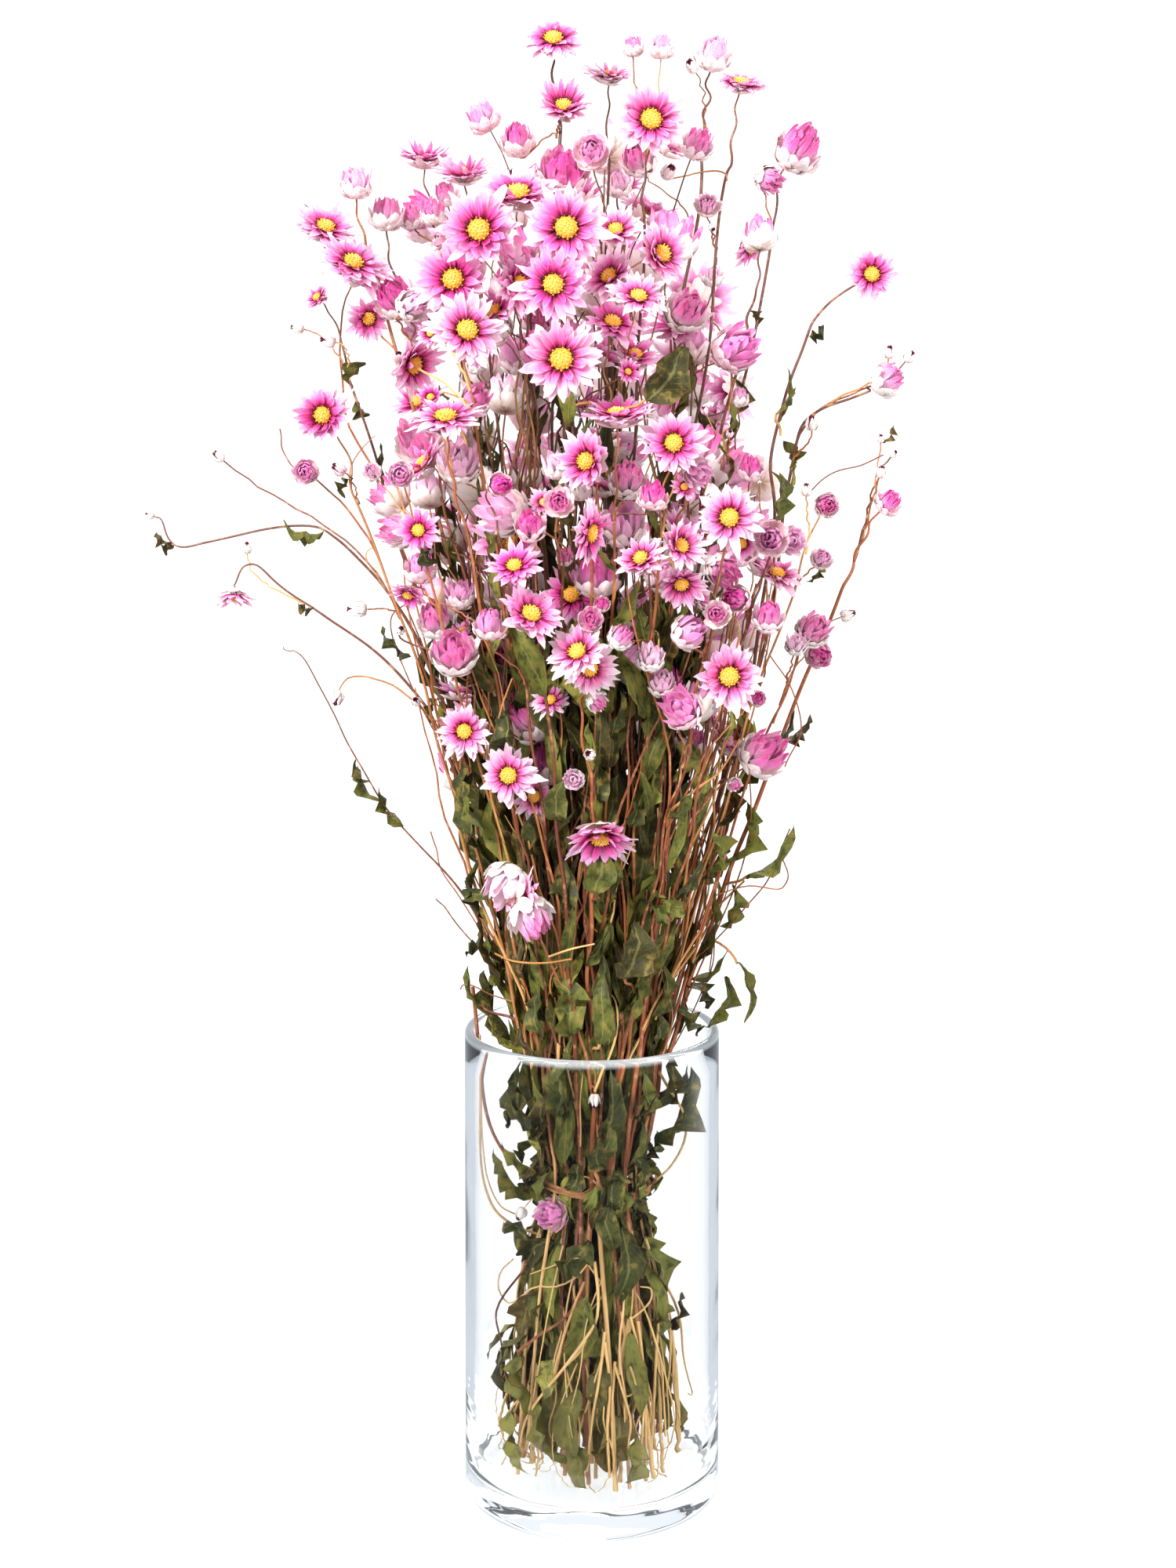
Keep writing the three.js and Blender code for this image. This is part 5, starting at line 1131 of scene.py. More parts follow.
def park_miller(count, seed):
    """Numbers between 0 and 1 by state = state * 16807 mod 2147483647, the draws that the solids used."""
    state, draws = seed, []
    for _ in range(count):
        state = state * PARK_MILLER % PARK_MILLER_END
        draws.append(state / PARK_MILLER_END)
    return np.array(draws)


def between(ends, t):
    """The value at share t of the way from the first of two ends to the second."""
    return ends[0] + (ends[1] - ends[0]) * t


def direction(turn, rise):
    """The unit vector that points at the angle turn round the bunch and rise above the level."""
    return xyz(np.cos(turn) * np.cos(rise), np.sin(turn) * np.cos(rise), np.sin(rise))


def off_heads(spots, room):
    """True for each spot that is further than room from every head."""
    way = spots[..., None, :] - head_at
    distance = np.linalg.norm(way, axis=-1)
    reach = reach_of((way / distance[..., None] * head_axis).sum(axis=-1) ** 2, deep, across)
    return (distance > reach + room).all(axis=-1)


def off_stems(spots, stem, width):
    """True for each spot that no other stem passes within 0.4 of the leaf's width and 1.6 mm."""
    near = nearest_on(curves[:, :-1], curves[:, 1:], spots[..., None, None, :])
    distance = np.linalg.norm(near - spots[..., None, None, :], axis=-1).min(axis=-1)
    own = stem[:, None, None] == np.arange(STEM_COUNT)
    return (own | (distance > (width * 0.4 + 1.6)[:, None, None])).all(axis=-1)


def in_glass(spots, width):
    """True for each spot that is above the rim, or inside the glass and over its floor."""
    low = spots[..., 2] < VASE_HEIGHT + 5
    wide = np.linalg.norm(spots[..., :2], axis=-1) > VASE_RADIUS - VASE_WALL - width[:, None] * 0.3
    return ~(low & wide) & (spots[..., 2] > VASE_FLOOR + 3)


def spots_on(root, tip, *shares):
    """Points of each leaf at shares of the way from its root to its tip."""
    return root[:, None] + (tip - root)[:, None] * np.array(shares)[:, None]


def small_leaves():
    """Root, tip, width and stem of the small leaves, in the order of the draws."""
    draws = park_miller(STEM_COUNT * len(LEAF_HEIGHTS) * 6, SEED).reshape(-1, 6)
    stem, height = np.repeat(np.arange(STEM_COUNT), len(LEAF_HEIGHTS)), np.tile(LEAF_HEIGHTS, STEM_COUNT)
    kept = (np.linalg.norm(places, axis=1)[stem] >= LEAF_SLOT) & (draws[:, 0] <= LEAF_KEPT)
    stem, height = stem[kept], height[kept]
    _, b, c, d, e, f = draws[kept].T
    root = point_at_height(lines[stem], np.minimum(height + b * 16, lines[stem, 5, 2] - 6))
    turn = np.arctan2(root[:, 1], root[:, 0]) + (c - 0.5) * 1.1
    lift = np.radians(between(LEAF_LIFT, d)) * np.where((height < SKIRT_HEIGHT) & (c > 0.5), -0.9, 1)
    width, tip = between(LEAF_WIDTH, f), root + direction(turn, lift) * between(LEAF_LENGTH, e)[:, None]
    spots = spots_on(root, tip, 0.4, 0.75, 1)
    clear = in_glass(spots, width) & off_heads(spots, LEAF_CLEAR) & off_stems(spots, stem, width)
    clear = clear.all(axis=1)
    return root[clear], tip[clear], width[clear], stem[clear]


def large_leaves():
    """Foot of the stalk, foot, tip, width and stem of the leaves that were read one by one."""
    x0, z0, x1, z1, width, depth = LARGE_LEAVES.T
    y = depth_at((x0 + x1) / 2, (z0 + z1) / 2, depth)
    (foot_x, foot_z), (tip_x, tip_z) = unproject(x0, z0, y), unproject(x1, z1, y)
    foot, tip = xyz(foot_x, y, foot_z), xyz(tip_x, y, tip_z)
    spots = np.stack([point_at_height(lines, height) for height in foot_z - 8])
    distance = np.linalg.norm(spots - foot[:, None], axis=-1)
    stem = np.where(lines[:, 5, 2] < foot_z[:, None], np.inf, distance).argmin(axis=1)
    root = point_at_height(lines[stem], foot_z + np.where(tip_z > foot_z, -8, 5))
    return root, foot, tip, width, stem


root, tip, width, stem = small_leaves()
count = len(root)
lots.append(leaf_blades(
    root, tip, width * 1.05, stem, 0.12, draw(0.2, 0.5, count), draw(-0.1, 0.1, count),
    draw(-0.5, 0.5, count), draw(0, 1, count),
))
root, foot, tip, width, stem = large_leaves()
large, way = len(root), unit(tip - foot)
lots.append(leaf_blades(
    foot, tip, width * 0.9, stem, 0.12, draw(0.4, 0.8, large), draw(-0.05, 0.05, large),
    draw(-0.4, 0.4, large), np.where(width > 16, 0.12, 0.5), 0.1, 0.14, FINE_T,
))
leaf_stalks = bezier(root, np.tile((0.0, 0.0, 1.0), (large, 1)), foot + way, way, 8)
lots.append(tubes(leaf_stalks, np.full((large, 9), 0.55), 5, stem, draw(0, 1, large)))
print(count, "small and", large, "large leaves of the solids")

# %% [markdown]
# The filling leaves are drawn many more than needed, and those that would stand out of the bunch's leafy
# outline, in a flower or through the glass are dropped. Most stay behind the outermost stems, so that these
# show as lines in front, and a few hang over them. So the outline stays that of the solids, and the inside
# gets as dark and dense as it is.

# %% Leaves that fill the bunch
def filling_leaves(
    number, low, high, lift, length, slim, fill, stray=0.12, reach=1.15, downward=0.0, sideways=1.4,
):
    """Leaves on stems picked by chance, with roots between two heights, inside fill of the stems' reach.

    stray of them may go out to reach instead. lift is in degrees, downward is the share that points down,
    and slim is the width as a share of the length.
    """
    stem, height = rng.integers(0, STEM_COUNT, number), draw(low, high, number)
    keep = height < stem_paths[stem, -12, 2] - 20
    stem, height = stem[keep], height[keep]
    number = len(stem)
    root = point_at_height(stem_paths[stem], height)
    turn = np.arctan2(root[:, 1], root[:, 0]) + draw(-sideways, sideways, number)
    rise = np.radians(draw(*lift, number)) * np.where(draw(0, 1, number) < downward, -1, 1)
    span = draw(*length, number)
    tip = root + direction(turn, rise) * span[:, None]
    wide = span * draw(*slim, number)
    spots = spots_on(root, tip, 0.0, 0.4, 0.75, 1)
    limit = np.where(draw(0, 1, number) < stray, reach, fill)[:, None]
    room = np.interp(spots[..., 2], STEMS_Z, STEMS_REACH)
    fits = (outer_share(spots) + (wide * 0.3)[:, None] / room <= limit) & in_glass(spots, wide + 4)
    fits = (fits & off_heads(spots, 0.5)).all(axis=1)
    count = fits.sum()
    lots.append(leaf_blades(
        root[fits], tip[fits], wide[fits], stem[fits], draw(-0.1, 0.22, count), draw(0.1, 1.2, count),
        draw(-0.25, 0.35, count), draw(-1.7, 1.7, count), draw(0, 1, count),
    ))
    return int(count)


filled = [
    filling_leaves(950, 130, 205, (66, 89), (20, 42), (0.12, 0.24), 0.86, 0.1, 1.08),
    filling_leaves(960, 195, 330, (56, 88), (18, 40), (0.13, 0.28), 0.88, 0.14, 1.14),
    filling_leaves(560, 300, 440, (45, 86), (12, 28), (0.15, 0.3), 0.86),
    filling_leaves(520, 98, 134, (60, 88), (9, 20), (0.18, 0.34), 0.96, 0.0, 1.15, 0.5, 1.0),
    filling_leaves(1050, 45, 112, (72, 89), (22, 50), (0.1, 0.19), 0.82, 0.08, 0.94, 0.85, 1.2),
]
print("filling leaves:", filled)


def tie_tufts(number):
    """Small crumpled leaves squeezed out round the tie. They hang over it but for its front left."""
    turn = draw(0, 2 * np.pi, number)
    shown = np.degrees(turn)
    bare = [(-1, 20), (155, 205), (222, 266), (300, 316), (325, 361)]
    turn = turn[~np.any([(shown > low) & (shown < high) for low, high in bare], axis=0)]
    number = len(turn)
    way = np.where(draw(0, 1, number) < 0.5, -1, 1)
    above, below = draw(2, 9, number), draw(2, 9, number)
    height = TIE_HEIGHT - TIE_SLANT * np.cos(turn) + np.where(way < 0, above, -below)
    far = NECK_RADIUS + draw(1.2, 2.6, number)
    out = direction(turn, 0.0)
    root = out * far[:, None] + xyz(0.0, 0.0, height)
    span = draw(8, 17, number)
    aside = direction(turn + np.pi / 2, 0.0) * (rng.normal(0, 0.35, number) * span)[:, None]
    tip = root + aside + out * draw(0.4, 2.6, number)[:, None]
    tip[:, 2] += span * way * draw(0.6, 1, number)
    at_tie = point_at_height(stem_paths, TIE_HEIGHT)[:, :2]
    owner = np.linalg.norm(at_tie - root[:, None, :2], axis=-1).argmin(axis=1)
    lots.append(leaf_blades(
        root, tip, span * draw(0.2, 0.42, number), owner, draw(0.1, 0.3, number), draw(0.2, 1.0, number),
        draw(0, 0.3, number), draw(-0.8, 0.8, number), draw(0, 1, number), crumple=0.28,
    ))
    return number


print("tufts at the tie:", tie_tufts(120))

# %% [markdown]
# ## Leaves, twigs and straw read one by one
#
# Outside the mass of the bunch each leaf and hair-thin twig shows on its own. They were read as points on
# the picture. Each is moved along the line of sight on to the stem that passes there, so that it also sits
# on its stem from the side.

# %% What shows outside the bunch
all_paths = np.concatenate([stem_paths.reshape(-1, 3), stalk_paths.reshape(-1, 3)])
all_owner = np.concatenate([
    np.repeat(np.arange(STEM_COUNT), FINE), np.repeat(side_stem, stalk_paths.shape[1]),
])
all_near = nearness(all_paths[:, 1])
all_seen = xyz(all_paths[:, 0] / all_near, EYE_HEIGHT + (all_paths[:, 2] - EYE_HEIGHT) / all_near)


def carried_by(place):
    """The stem point that shows nearest to each place x, z, whose it is, and the scale of a length there."""
    nearest = np.linalg.norm(all_seen - np.asarray(place, float)[:, None], axis=-1).argmin(axis=1)
    spot = all_paths[nearest]
    return spot, all_owner[nearest], nearness(spot[:, 1])


# Seen x, z of the foot and the tip, width, fold
SEEN_LEAVES = [
    (-164, 374, -170, 380, 5, 0.7), (-163, 373, -167, 368, 4, 0.9), (-105, 380, -122, 383, 5, 1.2),
    (-104, 357, -110, 360, 5, 0.6), (-82, 273, -91, 288, 5, 0.8), (-88, 281, -94, 290, 4, 0.9),
    (85, 456, 92, 459, 5, 0.5), (101, 417, 106, 424, 4.5, 0.6), (89, 367, 85, 358, 5, 0.6),
    (-84, 437, -79, 447, 7, 0.7), (-82, 430, -76, 424, 5, 0.8), (-60, 445, -55, 452, 6, 0.6),
    (74, 405, 71, 416, 6, 0.7), (66, 461, 63, 468, 4, 0.7), (-97, 398, -101, 391, 5, 0.7),
    (-66, 372, -60, 366, 5, 0.6), (-36, 200, -44, 193, 7, 0.8), (-40, 214, -50, 209, 7, 0.9),
    (36, 440, 34, 454, 8, 0.5), (-58, 310, -64, 300, 4, 0.8), (-42, 262, -50, 270, 5, 0.8),
    (33, 188, 41, 176, 9, 0.4), (42, 200, 49, 188, 8, 0.5), (50, 262, 56, 282, 9, 0.4),
    (-28, 142, -36, 130, 6, 0.8), (-30, 128, -38, 118, 6, 0.9), (28, 128, 33, 140, 6, 0.6),
]
seen_leaves = np.array(SEEN_LEAVES)
feet, owners, scale = carried_by(seen_leaves[:, :2])
step = (seen_leaves[:, 2:4] - seen_leaves[:, :2]).T
tips = feet + xyz(step[0] * scale, 0.15 * np.abs(step[1]), step[1] * scale)
width, fold = seen_leaves[:, 4:].T
count = len(feet)
lots.append(leaf_blades(
    feet, tips, width * 1.3, owners, 0.15, fold, draw(-0.2, 0.3, count), draw(-1, 1, count),
    draw(0, 0.6, count), t=FINE_T,
))


def in_front(x, z, share):
    """Points that show at x, z, at share of the way out to the front of the stems, and inside the glass."""
    room = np.interp(z, STEMS_Z, STEMS_REACH)
    y = -share * (DEPTH_SHARE * room * np.sqrt(np.maximum(0.0, 1 - (x / room) ** 2)) + 2.0)
    x, z = unproject(x, z, y)
    inside = np.minimum(1, (VASE_RADIUS - VASE_WALL - 2) / np.hypot(x, y))
    within = np.where(z < VASE_HEIGHT + 4, inside, 1)
    return xyz(x * within, y * within, np.maximum(z, VASE_FLOOR + 1.5))


def nearest_stem(points):
    """The stem whose middle line passes nearest to each point."""
    distance = np.linalg.norm(stem_paths[None] - points[:, None, None], axis=-1).min(axis=-1)
    return distance.argmin(axis=1)


# Leaves that lie in front: seen x, z of the foot and the tip, width, share of the way out, shade
FRONT_LEAVES = np.array([
    (-6, 180, -15, 205, 12, 1.0, 0.6), (-20, 178, -23, 198, 7, 1.0, 0.3), (-32, 178, -38, 209, 8, 0.8, 0.15),
    (-44, 254, -50, 285, 9, 0.8, 0.3), (-42, 226, -47, 250, 7, 0.8, 0.25), (-12, 226, -10, 250, 10, 0.8, 0.2),
    (47, 246, 44, 262, 9, 0.9, 0.75), (53, 248, 61, 274, 9, 0.8, 0.7), (50, 223, 58, 240, 8, 0.8, 0.65),
    (44, 183, 50, 206, 9, 0.8, 0.5), (36, 231, 27, 233, 7, 1.1, 0.7), (28, 233, 24, 224, 7, 1.1, 0.6),
    (34, 280, 35, 297, 8, 0.9, 0.6), (-29, 290, -34, 309, 9, 0.9, 0.25), (23, 229, 22, 241, 6, 0.9, 0.35),
    (-36, 237, -48, 234, 5, 0.9, 0.3), (24, 176, 28, 198, 8, 0.8, 0.2), (-47, 268, -46, 288, 7, 0.7, 0.2),
    (16, 262, 20, 284, 7, 0.8, 0.3), (2, 268, 0, 290, 8, 0.8, 0.25), (-22, 250, -20, 272, 7, 0.8, 0.2),
    (-20, 116, -43, 133, 7, 0.3, 0.55), (-20, 127, -37, 137, 6, 0.2, 0.9), (-27, 150, -33, 142, 6, 0.3, 0.2),
    (-18, 97, -36, 106, 10, 0.5, 0.2), (-15, 98, -31, 91, 9, 0.8, 0.15), (-2, 99, -13, 82, 10, 1.0, 0.3),
    (6, 112, 7, 92, 8, 1.1, 0.35), (12, 104, 13, 70, 9, 1.0, 0.3), (20, 100, 28, 75, 10, 0.7, 0.6),
    (16, 96, 20, 83, 6, 1.0, 0.0), (-2, 76, -10, 41, 10, 1.0, 0.62), (-20, 79, -28, 61, 9, 0.8, 0.05),
    (-27, 53, -22, 28, 9, 1.0, 0.65), (-22, 34, -11, 2, 8, 1.0, 0.7), (-30, 33, -24, 4, 7, 0.8, 0.9),
    (-6, 40, -8, 11, 9, 1.0, 0.4), (9, 28, 7, 5, 12, 0.9, 0.04), (17, 20, 11, 1, 8, 1.0, 0.75),
    (15, 62, 19, 28, 7, 1.0, 0.65), (26, 75, 26, 58, 7, 0.7, 0.5), (2, 52, 4, 30, 8, 0.9, 0.25),
    (25, 138, 38, 168, 13, 0.5, 0.25), (24, 152, 33, 172, 10, 0.6, 0.15), (-20, 143, -27, 168, 10, 0.6, 0.2),
    (-12, 148, -7, 172, 9, 0.9, 0.35),
    (4, 138, 7, 166, 8, 0.9, 0.2), (-17, 136, -17, 160, 7, 0.9, 0.1), (21, 148, 22, 164, 6, 1.0, 0.5),
    (-4, 128, -10, 118, 7, 1.1, 0.3), (10, 128, 5, 119, 7, 1.1, 0.35), (16, 132, 18, 119, 6, 1.0, 0.2),
])
x0, z0, x1, z1, width, depth, shade = FRONT_LEAVES.T
feet, tips = in_front(x0, z0, depth), in_front(x1, z1, depth)
count = len(feet)
lots.append(leaf_blades(
    feet, tips, width * 1.1, nearest_stem(feet), draw(0.0, 0.2, count), draw(0.4, 1.3, count),
    draw(-0.15, 0.2, count), draw(-0.9, 0.9, count), shade, 0.14, 0.26, FINE_T,
))

# Straws and stems that wind in front: radius, shade, share of the way out, and seen x, z of their points
FRONT_LINES = [
    (0.6, 0.9, 1.1, [(1, 90), (2.5, 76), (1.5, 66), (-4, 57), (-12, 46), (-20, 36), (-26, 26), (-28, 16)]),
    (0.35, 0.6, 1.1, [(-1, 90), (-6, 84), (-14, 80), (-22, 80), (-29, 75), (-34, 74), (-37, 79),
                      (-36, 86), (-31, 91)]),
    (0.3, 0.5, 1.1, [(-1, 92), (-8, 91), (-16, 88), (-24, 85)]),
    (0.4, 0.9, 1.0, [(15, 67), (19, 70), (23, 75), (23, 79), (19, 80)]),
    (0.5, 0.9, 0.5, [(27, 163), (33, 155), (37, 147), (36.5, 138), (32, 129), (26, 123), (18, 117)]),
    (0.7, 0.3, 0.1, [(-47, 199), (-46, 190), (-45, 172), (-43, 155), (-40, 143), (-35, 134),
                     (-29, 127), (-20, 120)]),
    (0.6, 0.97, 0.1, [(-45, 180), (-45.5, 150), (-44.5, 130), (-42, 118), (-38, 110), (-30, 104),
                      (-18, 100)]),
    (0.35, 0.97, 0.2, [(-44, 176), (-44, 150), (-43, 133), (-41, 122), (-36, 112), (-28, 108)]),
    (0.35, 0.1, 0.4, [(-28, 167), (-33, 159), (-33, 151), (-28, 145), (-22, 138), (-18, 130)]),
    (0.4, 0.1, 0.5, [(-26, 88), (-38, 70), (-36, 58), (-34, 44), (-32, 34)]),
    (0.5, 0.9, 0.6, [(-37, 24), (-34, 36), (-29, 46), (-24, 58)]),
    (0.5, 0.6, 0.5, [(27, 84), (30, 70), (31, 58), (30.5, 46), (29, 36)]),
    (0.4, 0.8, 0.5, [(28, 70), (32, 56), (32, 42), (34, 30), (35, 24)]),
    (0.6, 0.2, 1.0, [(-29, 54), (-20, 61), (-11, 67), (-4, 76)]),
    (0.7, 0.4, 1.0, [(-15, 42), (-12, 56), (-8, 69), (-3, 82)]),
    (0.5, 0.9, 1.1, [(9, 48), (12, 38), (15, 26), (14, 15)]),
    (0.6, 0.95, 0.8, [(21, 99), (25, 86), (26, 70), (25, 50), (24, 30), (23, 10)]),
    (0.5, 0.9, 1.0, [(15, 68), (18, 55), (20, 40), (21, 22), (21, 6)]),
    (0.5, 0.95, 0.8, [(23, 64), (27, 50), (28, 36), (29, 20)]),
    (0.6, 0.9, 1.05, [(5, 62), (3, 44), (0, 26), (-2, 6)]),
    (0.7, 0.95, 1.05, [(5, 58), (7, 42), (6, 22), (7, 3)]),
    (0.5, 0.95, 1.05, [(9, 50), (8, 34), (8, 18), (9, 4)]),
    (0.6, 0.9, 1.0, [(18, 66), (20, 46), (20, 28), (18, 4)]),
    (1.2, 0.55, 0.9, [(15, 67), (13, 58), (11, 50), (11, 45)]),
    (0.5, 0.6, 0.8, [(-22, 40), (-24, 28), (-21, 14), (-22, 4)]),
    (0.6, 0.8, 1.0, [(-52, 262), (-47, 242), (-41, 226), (-34, 211), (-27, 195), (-23, 182)]),
    (0.4, 0.7, 1.1, [(-40, 213), (-30, 209), (-18, 208.5), (-8, 210)]),
    (0.4, 0.9, 1.1, [(-17, 211), (-8, 214), (1, 216)]),
    (0.5, 0.75, 1.0, [(25, 186), (31, 202), (38, 214), (48, 229), (60, 241)]),
    (0.5, 0.75, 1.0, [(30, 268), (42, 278), (50, 284), (58, 297)]),
    (0.5, 0.7, 1.0, [(20, 182), (27, 196), (36, 208), (45, 222), (50, 244)]),
]
line_radii, line_shades, line_depths, line_points = zip(*FRONT_LINES)
line_paths = np.array([
    centripetal(in_front(*np.array(points, float).T, depth), 20)
    for depth, points in zip(line_depths, line_points)
])
radii = np.array(line_radii)[:, None] * np.linspace(1.1, 0.8, 21)
lots.append(tubes(line_paths, radii, 6, nearest_stem(line_paths[:, 0]), line_shades))
print(count, "leaves and", len(FRONT_LINES), "straws read in front")

# Seen x, z of the points of hair-thin twigs, the first on the stem that carries them
TWIGS = [
    [(46, 236), (60, 240), (73, 239), (75.5, 243), (73, 252)],
    [(71, 250), (67, 236), (64, 225), (62, 216), (60, 202)],
    [(-116, 408), (-121, 410), (-125, 416), (-126.5, 425)],
    [(-61, 300), (-72, 322), (-78, 345), (-70, 352)],
    [(-40, 215), (-50, 232), (-60, 248), (-64, 262)],
    [(-36, 205), (-46, 214), (-55, 226), (-60, 231)],
    [(-33, 195), (-42, 198), (-52, 202), (-54, 200)],
    [(30, 205), (44, 215), (56, 228), (66, 240), (76, 262)],
    [(33, 170), (42, 186), (50, 205), (52, 224)],
    [(70, 330), (78, 318), (82, 300), (76, 286)],
    [(86, 400), (96, 409), (108, 412), (116, 416)],
    [(-44, 410), (-48, 424), (-46, 436), (-50, 446)],
]
twig_paths = []
spots, twig_owner, scales = carried_by([points[0] for points in TWIGS])
for points, spot, scale in zip(TWIGS, spots, scales):
    x, z = (np.array(points, float) - points[0]).T
    twig_paths.append(centripetal(spot + xyz(x, 0.0, z) * scale, 20))
twig_paths = crooked(np.array(twig_paths), 0.7, *FREE_MIDDLE, 3)
lots.append(tubes(twig_paths, np.full((len(TWIGS), 21), 0.28), 5, twig_owner, draw(0, 0.5, len(TWIGS))))
print(len(SEEN_LEAVES), "leaves and", len(TWIGS), "twigs read one by one")

# %% [markdown]
# Round the feet of the stems hang straws: split bark, dry side shoots and roots, paler than the stems.

# %% Straws
def straws(number, low, high, drop, stretch, most):
    """Thin curls that leave a stem between two heights, hang or stand by drop and sway by up to most."""
    stem = rng.integers(0, STEM_COUNT, number)
    root = point_at_height(stem_paths[stem], draw(low, high, number))
    turn = np.arctan2(root[:, 1], root[:, 0]) + draw(-1.2, 1.2, number)
    out, fall = direction(turn, 0.0), draw(*drop, number)
    end = root + out * draw(*stretch, number)[:, None]
    end[:, 2] = np.maximum(end[:, 2] + fall, VASE_FLOOR + 2)
    room = np.interp(end[:, 2], STEMS_Z, STEMS_REACH)
    end[:, :2] *= np.minimum(1, (room + 4) / np.linalg.norm(end[:, :2], axis=-1))[:, None]
    ways = unit(out * 0.6 + xyz(0.0, 0.0, np.sign(fall)))
    paths = bezier(root, ways, end, unit(out * 0.3 + rng.normal(0, 0.6, (number, 3))), 14)
    paths = crooked(paths, draw(1.0, most, number), *FREE_END, 1.6)
    paths[..., 2] = np.maximum(paths[..., 2], VASE_FLOOR + 1)
    radii = thinning(15, [0, 1], [0.45, 0.22]) * draw(0.6, 1.4, (number, 1))
    lots.append(tubes(paths, radii, 5, stem, draw(0.6, 1, number)))


straws(110, 40, 114, (-90, -25), (1, 9), 5.0)
straws(45, 130, 230, (20, 60), (3, 12), 3.0)
straws(36, 230, 400, (10, 40), (2, 9), 1.4)
print("shapes in all:", sum(len(lot["points"]) for lot in lots))

# %% [markdown]
# ## The vase
#
# A cylinder vase is blown or pressed glass: an even wall, a thick floor with a soft inner corner, and a rim
# melted round by fire. A profile of radius against height, turned round the axis, gives one closed solid of
# glass, which is what the renderer needs to bend light rightly.

# %% Vase
def rounded(out, up, radius_, start, end):
    """Nine points on an arc of a circle round (out, up), from one angle to another in degrees."""
    a = np.radians(np.linspace(start, end, 9))
    return xyz(out + radius_ * np.cos(a), up + radius_ * np.sin(a))


def turned_solid(profile, sides):
    """A solid of revolution from points (radius, height); its first and last lie next to the axis."""
    angle = 2 * np.pi * np.arange(sides) / sides
    out, up = profile.T[..., None]
    rings = xyz(out * np.cos(angle), out * np.sin(angle), up)
    start, end = (xyz(0.0, 0.0, up[[k], 0]) for k in (0, -1))
    return sealed(rings[None], start, end, np.array([-1]), 0, along=0.0)


inner = VASE_RADIUS - VASE_WALL
vase_profile = np.concatenate([
    [(8.0, 0.9), (30.0, 0.5), (VASE_RADIUS - VASE_CORNER - 6, 0.0)],
    rounded(VASE_RADIUS - VASE_CORNER, VASE_CORNER, VASE_CORNER, -90, 0),
    [(VASE_RADIUS, z) for z in (20, 60, 100, 140, 170)],
    rounded(VASE_RADIUS - VASE_WALL / 2, VASE_HEIGHT - VASE_WALL / 2, VASE_WALL / 2, 0, 180),
    [(inner, z) for z in (170, 140, 100, 60, 30)],
    rounded(inner - VASE_INNER_CORNER, VASE_FLOOR + VASE_INNER_CORNER, VASE_INNER_CORNER, 0, -90),
    [(30.0, VASE_FLOOR - 0.3), (12.0, VASE_FLOOR - 0.6), (3.0, VASE_FLOOR - 0.7)],
])
vase_lot = turned_solid(vase_profile, 160)
print("vase profile:", len(vase_profile), "points")

# %% [markdown]
# ## The tie
#
# The bunch is held by a thin tan strand, wound round three times and twisted. Each winding is a closed
# ring whose section turns as it goes round, and one short end sticks out at the right.

# %% Tie
TIE_STEPS, TIE_SIDES = 120, 8
TIE_OUT, TIE_WIDE = 0.45, 0.62
# How far each winding lies over the middle of the tie, and by how much its twist is ahead
WINDINGS = [(-0.95, 0.0), (0.05, 2.1), (1.0, 4.2)]


def winding(offset, phase):
    """A ring round the bunch: its radius swells with the twist, its height follows the slant of the tie."""
    around = 2 * np.pi * np.arange(TIE_STEPS)[:, None] / TIE_STEPS
    section = 2 * np.pi * np.arange(TIE_SIDES) / TIE_SIDES
    base = NECK_RADIUS + STEM_THICK + TOUCH + 0.55
    slant = TIE_SLANT * np.cos(around) * base / (base + 0.5)
    twist = 9 * around + phase
    lobes = 1 + 0.18 * np.cos(2 * (section + twist))
    out = base + 0.12 * np.sin(7 * around + phase) + TIE_OUT * np.cos(section) * lobes
    wide = TIE_WIDE + 0.06 * np.sin(5 * around + phase)
    z = TIE_HEIGHT + offset + 0.18 * np.sin(3 * around + phase) - slant + wide * np.sin(section) * lobes
    return xyz(out * np.cos(around), out * np.sin(around), z), (section + twist) % (2 * np.pi)


def tie_piece(name, material):
    """The windings as one object. Each ring of points is joined to the next, and the last to the first."""
    rings, turns = zip(*(winding(*row) for row in WINDINGS))
    i, j = np.arange(TIE_STEPS)[:, None], np.arange(TIE_SIDES)
    after, beside = (i + 1) % TIE_STEPS * TIE_SIDES, (j + 1) % TIE_SIDES
    quads = xyz(i * TIE_SIDES + j, after + j, after + beside, i * TIE_SIDES + beside).reshape(-1, 4)
    faces = [quads + k * TIE_STEPS * TIE_SIDES for k in range(len(rings))]
    mesh = bpy.data.meshes.new(name)
    mesh.from_pydata(np.concatenate(rings).reshape(-1, 3) * MM, [], np.concatenate(faces))
    along = np.repeat(np.arange(TIE_STEPS) / TIE_STEPS, TIE_SIDES)
    marks = {"along": [along] * len(rings), "across": [turn.reshape(-1) for turn in turns]}
    return finished_piece(mesh, marks, [material])


tie_end = np.array([[(22.6, -6.0, 123.0), (23.6, -8.5, 124.2), (24.6, -12.5, 126.4), (24.4, -16.5, 129.6)]])
tie_end_lot = tubes(refine(tie_end, 5), np.full((1, 16), 0.5), 6, np.array([-1]), [0.5])
